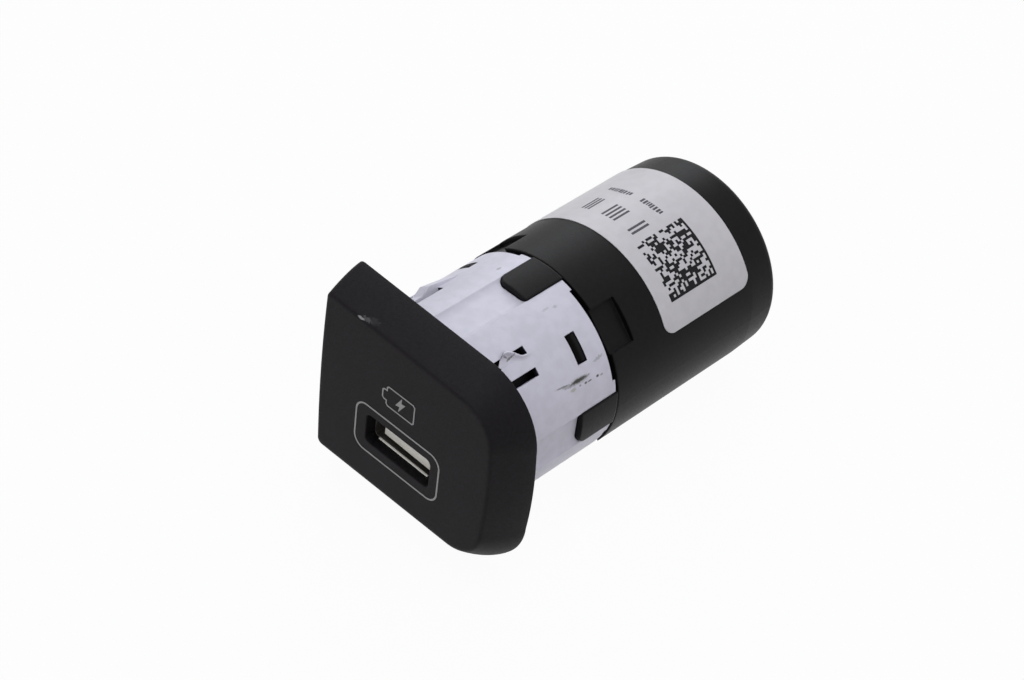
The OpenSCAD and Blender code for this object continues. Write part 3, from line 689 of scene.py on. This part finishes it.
class Finishes:
    """Every finish of the socket, by the record's material slot."""

    def __init__(self) -> None:
        """Builds the finishes."""
        effects = Effects()
        recipes: tuple[Moulded | Plated | Ink, ...] = (
            Moulded("bezel_plastic", (0.084, 0.075, 0.086), Gloss.MATTE, Grain.SPARK, edge_mm=0.15,
                    edge_highlight=0.05, speckle=0.1, specular=0.083, marks=BEZEL_MARKS),
            Moulded("sleeve_plastic", SLEEVE, Gloss.SATIN, Grain.SMOOTH, edge_mm=0.2, edge_highlight=0.0,
                    mottle=0.015, speckle=0.015, specular=0.32, recess=SHADE, marks=SLEEVE_MARKS),
            Moulded("housing_plastic", (0.08, 0.077, 0.082), Gloss.SATIN, edge_mm=0.45, edge_highlight=0.04,
                    speckle=0.08, specular=0.08),
            Moulded("label_stock", FILM, Gloss.SATIN, Grain.SMOOTH, edge_mm=0.05, edge_highlight=0.0,
                    mottle=0.012, speckle=0.012, specular=0.22),
            Moulded("insulator_plastic", (0.86, 0.85, 0.825), Gloss.SATIN, Grain.SMOOTH, mottle=0.02),
            Moulded("board_laminate", (0.12, 0.36, 0.22), Gloss.SMOOTH),
            Moulded("chip_epoxy", (0.11, 0.11, 0.12), Gloss.MATTE),
            Moulded("ferrite", (0.22, 0.22, 0.23), Gloss.DULL, Grain.SPARK),
            Moulded("ceramic", (0.7, 0.6, 0.47), Gloss.MATTE),
            Moulded("fuse_body", (0.62, 0.7, 0.6), Gloss.SATIN, Grain.SMOOTH),
            Moulded("header_plastic", (0.1, 0.1, 0.105), Gloss.MATTE, specular=0.2),
            Plated("shell_steel", (0.48, 0.47, 0.45), Gloss.SMOOTH, metallic=0.6),
            # Near-white colour of the port lip: a painted highlight.
            Moulded("lip_painted_highlight", (0.98, 0.97, 0.95), Gloss.SMOOTH, Grain.SMOOTH, edge_highlight=0.0,
                    mottle=0.02),
            Plated("contact_gold", (0.86, 0.7, 0.4), Gloss.BRIGHT),
            Plated("capacitor_can", (0.78, 0.79, 0.8), Gloss.SMOOTH),
            Plated("pin_tin", (0.82, 0.81, 0.78), Gloss.BRIGHT),
            Ink("face_ink", (0.57, 0.57, 0.57), (0.3, 0.3, 0.3)),
            Ink("label_ink", BLACK_INK, (0.3, 0.29, 0.31), wear=0.12, specular=0.12),
            Ink("label_faint_ink", (0.27, 0.26, 0.29), (0.5, 0.49, 0.52), wear=0.4, specular=0.2),
        )
        self.materials = {recipe.name: recipe.build(effects) for recipe in recipes}

    def dress(self, frame: dict) -> None:
        """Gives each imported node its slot's finish.
        """
        slots = {part["node"]: part["material_slot"] for part in frame["record"]["subparts"]}
        for name, piece in frame["nodes"].items():
            piece.data.materials.clear()
            piece.data.materials.append(self.materials[slots[name]])
            LOG.info("%s: %s", name, slots[name])


@dataclass
class Bezel:
    """The front cap: a face, a flank that flares to the rim, and a slot for the port."""

    depth: float = 7.5
    face_left: float = 16.1
    face_right: float = 17.4
    face_top: float = 15.4
    face_bottom: float = 12.85
    top_fall: float = 2.0
    bow: float = 0.35
    flare_left: float = 1.25
    flare_right: float = 2.1
    flare_top: float = 1.2
    flare_bottom: float = 6.0
    corner_left: float = 0.9
    corner_face: float = 6.1
    corner_rim: float = 10.5
    flare_power: float = 1.4
    wall: float = 1.6
    floor: float = 2.0
    edge: float = 0.5
    edge_depth: float = 0.3
    rim_edge: float = 0.22
    slot: tuple[float, float, float] = (12.75, 5.2, 0.8)
    slot_centre: Point2 = (0.15, -2.9)
    slot_edge: float = 0.14
    sink: float = 0.02
    face_band: float = 0.5
    slot_band: float = 0.2
    left_steps: int = 6
    right_steps: int = 22
    edge_steps: int = 4
    flank_steps: int = 18
    rim_steps: int = 3
    inner_steps: int = 6
    root: float = 0.4
    rib_xs: tuple[float, ...] = (-11.5, 10.0)
    rib_end: float = 5.2
    rib_reach: float = 2.4
    rib_half: float = 0.5
    hook_xs: tuple[float, ...] = (-6.0, 5.0)
    hook_span: Point2 = (6.65, 7.35)
    hook_half: float = 2.0
    # How far the hooks reach inwards, at the top (1) and at the bottom (-1).
    hook_drops: tuple[tuple[int, float], ...] = ((1, 0.9), (-1, 1.8))

    def flare(self, t: float) -> float:
        """Share of the flare at t, from 0 at the face to 1 at the rim."""
        return 1 - (1 - min(1.0, max(0.0, t))) ** self.flare_power

    def outline(self, y: float, inset: float) -> list[Point3]:
        """The bezel's outline at a depth.

        Args:
            y: Depth behind the face.
            inset: How far inside the outer surface.

        Returns:
            The points, anticlockwise as seen from the front.
        """
        share = self.flare(y / self.depth)
        left = -self.face_left - self.flare_left * share + inset
        right = self.face_right + self.flare_right * share - inset
        bottom = -self.face_bottom - self.flare_bottom * share + inset
        top = self.face_top + self.flare_top * share - inset
        fall = math.tan(math.radians(self.top_fall))
        r_right = self.corner_face + (self.corner_rim - self.corner_face) * share - inset
        r_left = self.corner_left
        z_right = top - fall * (right - r_right) - r_right
        z_left = top - fall * (left + r_left) - r_left
        x_left, x_right = left + r_left + self.bow, right - r_right - self.bow
        points = arc(x_left, bottom + r_left, r_left, 180, 270, self.left_steps)
        points += arc(x_right, bottom + r_right, r_right, 270, 360, self.right_steps)
        points += self.bowed(right, 1, bottom + r_right, z_right)
        points += arc(x_right, z_right, r_right, 0, 90, self.right_steps)
        points += arc(x_left, z_left, r_left, 90, 180, self.left_steps)
        points += self.bowed(left, -1, z_left, bottom + r_left)
        return [(x, y, z) for x, z in points]

    def bowed(self, x: float, side: int, start: float, end: float, steps: int = 10) -> list[Point2]:
        """Points of a bowed side without its ends, between two heights; side is 1 right and -1 left."""
        shares = [2 * i / steps - 1 for i in range(1, steps)]
        return [(x - side * self.bow * s * s, (start + end) / 2 + (end - start) / 2 * s) for s in shares]

    def levels(self) -> Iterator[tuple[float, float]]:
        """Lists the outlines, from the face over the rim to the floor of the hollow.

        Returns:
            The depth and the inset of each one.
        """
        for a in quarter(self.edge_steps):
            yield self.sink + self.edge_depth * (1 - math.cos(a)), self.edge * (1 - math.sin(a))
        start, end = self.sink + self.edge_depth, self.depth - self.rim_edge
        for k in range(1, self.flank_steps + 1):
            yield start + (end - start) * k / self.flank_steps, 0.0
        for a in quarter(self.rim_steps)[1:]:
            yield end + self.rim_edge * math.sin(a), self.rim_edge * (1 - math.cos(a))
        for a in quarter(self.rim_steps):
            back = self.rim_edge * (1 - math.cos(a))
            yield self.depth - back, self.wall - self.rim_edge * (1 - math.sin(a))
        for k in range(1, self.inner_steps + 1):
            yield end + (self.floor - end) * k / self.inner_steps, self.wall

    def slot_loop(self, y: float, grow: float) -> list[Point3]:
        """Outline of the slot at a depth.

        Args:
            y: Depth behind the face.
            grow: How far outside the slot's wall.

        Returns:
            The points.
        """
        width, height, radius = self.slot
        x0, z0 = self.slot_centre
        loop = rounded_loop(width + 2 * grow, height + 2 * grow, radius + grow)
        return [(x0 + x, y, z0 + z) for x, z in loop]

    def inside(self, y: float, x: float, up: int) -> float:
        """Height of the inner surface of the top flank, where up is 1, or of the bottom one.

        Args:
            y: Depth behind the face.
            x: Place to the right.
            up: 1 at the top, -1 at the bottom.

        Returns:
            The height.
        """
        share = self.flare(y / self.depth)
        if up > 0:
            fall = math.tan(math.radians(self.top_fall)) * x
            return self.face_top + self.flare_top * share - self.wall - fall
        return -self.face_bottom - self.flare_bottom * share + self.wall

    def clip(self, piece: MeshPiece, x: float, half: float, profile: Sequence[Point2]) -> None:
        """Adds a rib or hook about x, with an outline of points (y, z)."""
        piece.slab([(x - half, y, z) for y, z in profile], [(x + half, y, z) for y, z in profile])

    def clips(self, piece: MeshPiece) -> None:
        """Adds the ribs in front of the sleeve's flange and the hooks behind it.

        Args:
            piece: The mesh.
        """
        start, end = self.floor - self.root, self.rib_end
        for x, up in product(self.rib_xs, (1, -1)):
            near, far = self.inside(self.floor, x, up), self.inside(end, x, up)
            root, reach = up * self.root, up * self.rib_reach
            self.clip(piece, x, self.rib_half, [(start, near + root), (end, far + root), (end, far - reach),
                                                (start, near - reach)])
        start, end = self.hook_span
        for x, (up, drop) in product(self.hook_xs, self.hook_drops):
            near, root = self.inside(start, x, up), up * self.root
            self.clip(piece, x, self.hook_half, [(start, near + root), (start, near - up * drop),
                                                 (end, near), (end, near + root)])

    def build(self, finishes: Finishes) -> Object:
        """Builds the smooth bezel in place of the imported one.

        Args:
            finishes: The finishes.

        Returns:
            The bezel.
        """
        piece = MeshPiece("bezel_shell")
        rings = [piece.ring(self.outline(0.0, self.edge + self.face_band))]
        for vert in rings[0]:
            vert.co.y = self.sink * MM
        rings += [piece.ring(self.outline(y, inset)) for y, inset in self.levels()]
        piece.skin(rings)
        slot_rings = [piece.ring(self.slot_loop(self.sink, self.slot_edge + self.slot_band))]
        for a in quarter(self.rim_steps):
            y = self.sink + self.slot_edge * (1 - math.cos(a))
            slot_rings.append(piece.ring(self.slot_loop(y, self.slot_edge * (1 - math.sin(a)))))
        slot_rings.append(piece.ring(self.slot_loop(self.floor, 0.0)))
        piece.skin(slot_rings)
        piece.fill(rings[0], slot_rings[0])
        piece.fill(rings[-1], slot_rings[-1])
        self.clips(piece)
        bezel = piece.done(finishes.materials["bezel_plastic"])
        flat = bezel.modifiers.new("flat_faces", "WEIGHTED_NORMAL")
        flat.keep_sharp = True
        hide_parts("front_bezel")
        return bezel


@dataclass
class PortLip:
    """The front edge of the receptacle's shell along the slot's floor, near-white as a painted highlight."""

    left: float = -5.1
    right: float = 4.85
    rear: float = 2.0
    run: float = 0.3
    low: float = -5.52
    rise: float = 0.2
    skew: float = 0.12
    steps: int = 6

    def build(self, finishes: Finishes) -> None:
        """Builds the edge as a quarter round strip.

        Args:
            finishes: The finishes.
        """
        profile = [(self.rear - self.run * math.cos(a), self.low + self.rise * math.sin(a))
                   for a in quarter(self.steps)]
        profile.append((self.rear, self.low))
        piece = MeshPiece("port_lip")
        piece.slab([(self.left, y, z) for y, z in profile],
                   [(self.right, y - self.skew, z) for y, z in profile])
        piece.done(finishes.materials["lip_painted_highlight"], sharp=50)


@dataclass
class FacePrint:
    """Marks printed on the bezel's face: a frame round the slot and a battery with a bolt."""

    front: float = 0.0
    back: float = 0.03
    line: float = 0.28
    thin: float = 0.22
    mitre: float = 0.5
    frame_size: tuple[float, float, float] = (16.6, 8.6, 1.95)
    frame_centre: Point2 = (-0.02, -3.03)
    battery: tuple[Point2, ...] = (
        (-2.45, 7.5), (2.35, 7.5), (2.68, 7.2), (2.68, 4.25), (2.4, 3.96), (-2.45, 3.96), (-2.75, 4.25),
        (-2.75, 4.85), (-3.3, 4.85), (-3.55, 5.1), (-3.55, 6.4), (-3.3, 6.65), (-2.75, 6.65), (-2.75, 7.2))
    bolt: tuple[Point2, ...] = (
        (0.2, 7.15), (-0.98, 5.18), (-0.18, 5.36), (-0.36, 4.3), (0.92, 6.3), (0.14, 6.16))

    def stroke(self, piece: MeshPiece, loop: Sequence[Point2], width: float) -> None:
        """Adds a closed printed line.

        Args:
            piece: The mesh.
            loop: Its centre line.
            width: Its width.
        """
        count = len(loop)
        outer, inner = [], []
        for i, (x, z) in enumerate(loop):
            before, after = Vector(loop[i - 1]), Vector(loop[(i + 1) % count])
            here = Vector((x, z))
            a, b = (here - before).normalized(), (after - here).normalized()
            normal = Vector((a.y + b.y, -a.x - b.x)).normalized()
            reach = width / 2 / max(self.mitre, normal.dot(Vector((a.y, -a.x))))
            outer.append(here + normal * reach)
            inner.append(here - normal * reach)
        rings = [piece.ring([(p.x, y, p.y) for p in line])
                 for line, y in ((outer, self.front), (outer, self.back), (inner, self.back),
                                 (inner, self.front))]
        piece.skin(rings + rings[:1])

    def build(self, finishes: Finishes) -> None:
        """Builds the printed marks.

        Args:
            finishes: The finishes.
        """
        ink = finishes.materials["face_ink"]
        frame = MeshPiece("port_outline_print")
        x0, z0 = self.frame_centre
        self.stroke(frame, [(x0 + x, z0 + z) for x, z in rounded_loop(*self.frame_size)], self.line)
        frame.done(ink, smooth=False)
        sign = MeshPiece("battery_sign_print")
        self.stroke(sign, self.battery, self.thin)
        sign.slab([(x, self.back, z) for x, z in self.bolt], [(x, self.front, z) for x, z in self.bolt])
        sign.done(ink, smooth=False)


@dataclass
class TornBarb:
    """The barb of the upper right snap finger: a thin flap, torn off at one side and folded over the slot."""

    radius: float = 15.8
    thickness: float = 0.26
    thin: float = 0.04
    steps: int = 5
    across_steps: int = 4
    rows: tuple[tuple[Point3, ...], ...] = (
        ((11.10, 61.80, 0.35), (10.75, 60.90, 0.60), (10.40, 60.00, 0.16), (9.70, 57.40, -0.06)),
        ((11.60, 62.60, 0.55), (11.50, 61.30, 0.95), (11.25, 59.50, 0.10), (10.10, 56.00, -0.10)),
        ((12.30, 61.60, 0.50), (12.22, 60.20, 0.85), (12.05, 58.40, 0.06), (11.00, 55.40, -0.10)),
        ((12.95, 59.80, 0.45), (12.82, 58.70, 0.66), (12.62, 57.20, 0.06), (12.10, 54.70, -0.10)),
        ((13.42, 57.90, 0.42), (13.34, 57.20, 0.52), (13.20, 56.20, 0.06), (12.90, 53.80, -0.10)),
        ((13.98, 56.50, 0.32), (13.92, 55.90, 0.38), (13.80, 55.10, 0.05), (13.60, 53.10, -0.10)),
        ((15.04, 55.90, 0.12), (14.90, 55.20, 0.14), (14.64, 54.20, 0.00), (14.44, 52.60, -0.10)),
        ((15.76, 54.96, -0.05), (15.65, 54.50, -0.05), (15.44, 53.84, -0.08), (15.17, 52.60, -0.10)))

    @staticmethod
    def smooth(points: Points, steps: int) -> list[list[float]]:
        """Points along a smooth curve through given ones.

        Args:
            points: What it goes through.
            steps: Stretches between two of them.

        Returns:
            The curve's points, both ends included.
        """
        last = len(points) - 1
        curve = []
        for i in range(last):
            near = (points[max(0, i - 1)], points[i], points[i + 1], points[min(last, i + 2)])
            for k in range(steps):
                t = k / steps
                curve.append([0.5 * (2 * b + (c - a) * t + (2 * a - 5 * b + 4 * c - d) * t * t
                                     + (3 * b - a - 3 * c + d) * t ** 3) for a, b, c, d in zip(*near)])
        curve.append(list(points[last]))
        return curve

    def section(self, piece: MeshPiece, across: Points, full: float) -> Ring:
        """Closed outline of the flap at one place along it, thinner towards its lower edge.

        Args:
            piece: The mesh.
            across: Points of its upper face as (y, angle, height over the sleeve).
            full: Share of its thickness there.

        Returns:
            The outline's vertices.
        """
        last = len(across) - 1
        top, low = [], []
        for i, (y, angle, height) in enumerate(across):
            thick = self.thin + (self.thickness * full - self.thin) * (1 - i / last)
            top.append(around(self.radius + height + self.thin, y, angle))
            low.append(around(self.radius + height + self.thin - thick, y, angle))
        return piece.ring(top + low[::-1])

    def build(self, finishes: Finishes) -> None:
        """Builds the torn barb.

        Args:
            finishes: The finishes.
        """
        piece = MeshPiece("torn_barb")
        lines = [self.smooth([row[k] for row in self.rows], self.steps) for k in range(len(self.rows[0]))]
        count = len(lines[0])
        sections = []
        for i, points in enumerate(zip(*lines)):
            full = math.sin(math.pi * (i + 1) / (count + 1)) ** 0.5
            sections.append(self.section(piece, self.smooth(points, self.across_steps), full))
        piece.skin(sections)
        piece.bm.faces.new(sections[0][::-1])
        piece.bm.faces.new(sections[-1])
        piece.done(finishes.materials["sleeve_plastic"], sharp=50)


@dataclass
class LabelPrint:
    """Plain print on the label: a field of little squares, two rows of short bars and three of long ones."""

    radius: float = 16.1
    thickness: float = 0.015
    field_y: Point2 = (41.6, 51.5)
    field_angle: Point2 = (38.7, 74.0)
    cells: int = 24
    fill: float = 0.48
    row_y: Point2 = (48.95, 50.0)
    rows: tuple[Point2, ...] = ((81.8, 96.3), (103.0, 119.0))
    blocks: tuple[tuple[float, float, float, float], ...] = (
        (42.7, 46.3, 79.6, 85.2), (42.7, 46.1, 92.8, 103.6), (42.7, 46.3, 111.0, 117.5))
    pitch: float = 2.4
    bar_share: float = 0.5
    bar_width: Point2 = (0.7, 1.5)
    bar_inset: Point2 = (0.0, 0.3)
    bar_gap: Point2 = (0.4, 0.9)
    least_bar: float = 0.8
    tile_turn: float = 2.0
    chance: random.Random = field(default_factory=lambda: random.Random(7))

    def tile(self, piece: MeshPiece, y0: float, y1: float, a0: float, a1: float) -> None:
        """Adds one printed tile on the round label.

        Args:
            piece: The mesh.
            y0: Front edge.
            y1: Rear edge.
            a0: Lower angle.
            a1: Upper angle.
        """
        steps = max(1, math.ceil((a1 - a0) / self.tile_turn))
        angles = [a0 + (a1 - a0) * i / steps for i in range(steps + 1)]
        low, high = self.radius, self.radius + self.thickness
        for b0, b1 in zip(angles, angles[1:]):
            corners = ((y0, b0), (y1, b0), (y1, b1), (y0, b1))
            piece.slab([around(low, y, b) for y, b in corners], [around(high, y, b) for y, b in corners])

    def squares(self, finishes: Finishes) -> None:
        """Builds the field of little squares, with a plain bar on two of its sides.

        Args:
            finishes: The finishes.
        """
        piece = MeshPiece("label_square_print")
        y0, y1 = self.field_y
        a0, a1 = self.field_angle
        step_y, step_a = (y1 - y0) / self.cells, (a1 - a0) / self.cells
        for row in range(1, self.cells):
            col = 0
            for dark, run in groupby([self.chance.random() < self.fill for _ in range(self.cells - 1)]):
                end = col + len(list(run))
                if dark:
                    self.tile(piece, y0 + col * step_y, y0 + end * step_y, a0 + row * step_a,
                              a0 + (row + 1) * step_a)
                col = end
        self.tile(piece, y0, y1, a0, a0 + step_a)
        self.tile(piece, y1 - step_y, y1, a0 + step_a, a1)
        piece.done(finishes.materials["label_ink"], smooth=False)

    def bars(self, finishes: Finishes) -> None:
        """Builds the rows of short bars and the plain blocks.

        Args:
            finishes: The finishes.
        """
        piece = MeshPiece("label_bar_print")
        y0, y1 = self.row_y
        for start, end in self.rows:
            angle = start
            while angle < end - self.least_bar:
                width = self.chance.uniform(*self.bar_width)
                inset = self.chance.uniform(*self.bar_inset)
                self.tile(piece, y0 + inset, y1, angle, min(end, angle + width))
                angle += width + self.chance.uniform(*self.bar_gap)
        for y0, y1, a0, a1 in self.blocks:
            count = max(2, round((a1 - a0) / self.pitch))
            step = (a1 - a0) / count
            for i in range(count):
                start = a0 + i * step
                self.tile(piece, y0, y1, start, start + step * self.bar_share)
        piece.done(finishes.materials["label_faint_ink"], smooth=False)

    def build(self, finishes: Finishes) -> None:
        """Builds all the print on the label."""
        self.squares(finishes)
        self.bars(finishes)


@dataclass(frozen=True)
class SoftBox:
    """A soft box that points at the middle of the body."""

    name: str
    place: Point3
    side: float
    power: float
    color: Color
    target: Point3 = (0.0, 30.0, 0.0)

    def build(self) -> None:
        """Hangs the soft box."""
        data = bpy.data.lights.new(self.name, "AREA")
        data.shape = "RECTANGLE"
        data.size = data.size_y = self.side * MM
        data.energy = self.power
        data.color = self.color
        lamp = add_object(self.name, data)
        lamp.location = Vector(self.place) * MM
        lamp.rotation_mode = "QUATERNION"
        lamp.rotation_quaternion = (Vector(self.place) - Vector(self.target)).to_track_quat("Z", "Y")


@dataclass
class Studio:
    """Camera, lamps, floor and world."""

    camera_place: Point3 = (181.1524, -198.5665, 261.6898)
    camera_right: Point3 = (0.71059645, 0.69677509, 0.09776069)
    camera_look: Point3 = (-0.47194953, 0.57506975, -0.66825027)
    lens: float = 94.47
    sensor: float = 36.0
    clip: Point2 = (0.01, 20.0)
    rest_front: Point2 = (7.5, -18.85)
    rest_rear: Point2 = (57.6, -16.0)
    floor_half: float = 1500.0
    floor_color: Color = (0.87, 0.87, 0.87)
    floor_white: float = 0.96
    room_light: float = 0.22
    boxes: tuple[SoftBox, ...] = (
        SoftBox("top_box", (0.0, 60.0, 750.0), 600.0, 2.87, (0.91, 0.94, 1.0)),
        SoftBox("back_box", (-450.0, 550.0, 350.0), 400.0, 1.45, (0.94, 0.97, 1.0)),
        SoftBox("side_box", (650.0, 0.0, 380.0), 400.0, 0.55, (1.0, 0.99, 0.97)),
        SoftBox("front_box", (-60.0, -800.0, 40.0), 260.0, 2.2, (1.0, 0.99, 0.97)))

    def camera(self) -> None:
        """Places the camera as the photo was taken."""
        data = bpy.data.cameras.new("photo_camera")
        data.lens = self.lens
        data.sensor_width = self.sensor
        data.clip_start, data.clip_end = self.clip
        camera = add_object("photo_camera", data)
        right, look = Vector(self.camera_right).normalized(), Vector(self.camera_look).normalized()
        up = right.cross(look)
        turn = Matrix((right, up, -look)).transposed().to_4x4()
        camera.matrix_world = Matrix.Translation(Vector(self.camera_place) * MM) @ turn
        bpy.context.scene.camera = camera

    @staticmethod
    def rays(graph: Graph) -> tuple[NodeSocket, NodeSocket]:
        """Whether a ray is the camera's, straight or through a clear piece, and whether it is a mirror's."""
        path = graph.add("LightPath").outputs
        return graph.math("ADD", path["Is Camera Ray"], path["Is Transmission Ray"]), path["Is Glossy Ray"]

    def floor(self) -> None:
        """Lays the floor against the bezel's rim and the rear of the body, which both rest on it."""
        (y0, z0), (y1, z1) = self.rest_front, self.rest_rear
        slope = (z1 - z0) / (y1 - y0)
        half = self.floor_half
        mesh = bpy.data.meshes.new("floor")
        places = ((-half, -half), (half, -half), (half, half), (-half, half))
        corners = [Vector((x, y, z0 + slope * (y - y0))) * MM for x, y in places]
        mesh.from_pydata(corners, [], [(0, 1, 2, 3)])
        floor = add_object("floor", mesh)
        material, graph, shader = new_material("floor_white")
        graph.tree.nodes.remove(shader)
        paper = graph.add("BsdfDiffuse", {"Color": linear(self.floor_color)})
        white = graph.add("Emission", {"Color": (1.0, 1.0, 1.0, 1.0), "Strength": 1.0})
        clear, glossy = self.rays(graph)
        share = graph.math("ADD", graph.math("MULTIPLY", clear, self.floor_white), glossy, clamp=True)
        mix = graph.add("MixShader", {0: share, 1: paper.outputs[0], 2: white.outputs[0]})
        graph.feed(graph.tree.nodes["Material Output"].inputs["Surface"], mix.outputs[0])
        mesh.materials.append(material)

    def world(self) -> None:
        """Gives a dim even room that shows white to the camera, in mirrors and through clear pieces."""
        world = bpy.data.worlds.new("room")
        world.use_nodes = True
        graph = Graph(world.node_tree)
        background = graph.tree.nodes["Background"]
        background.inputs["Color"].default_value = (1.0, 1.0, 1.0, 1.0)
        seen = graph.math("ADD", *self.rays(graph), clamp=True)
        graph.feed(background.inputs["Strength"], graph.ramp(seen, 0.0, 1.0, self.room_light, 1.0))
        bpy.context.scene.world = world

    def build(self) -> None:
        """Sets up the whole studio."""
        self.camera()
        self.floor()
        self.world()
        for box in self.boxes:
            box.build()
        bpy.context.scene.view_settings.view_transform = "Standard"


def main() -> None:
    """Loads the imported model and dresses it."""
    logging.basicConfig(level=logging.INFO, format="%(name)s: %(message)s")
    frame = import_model()
    finishes = Finishes()
    finishes.dress(frame)
    Bezel().build(finishes)
    PortLip().build(finishes)
    FacePrint().build(finishes)
    TornBarb().build(finishes)
    LabelPrint().build(finishes)
    Studio().build()


if __name__ == "__main__":
    main()
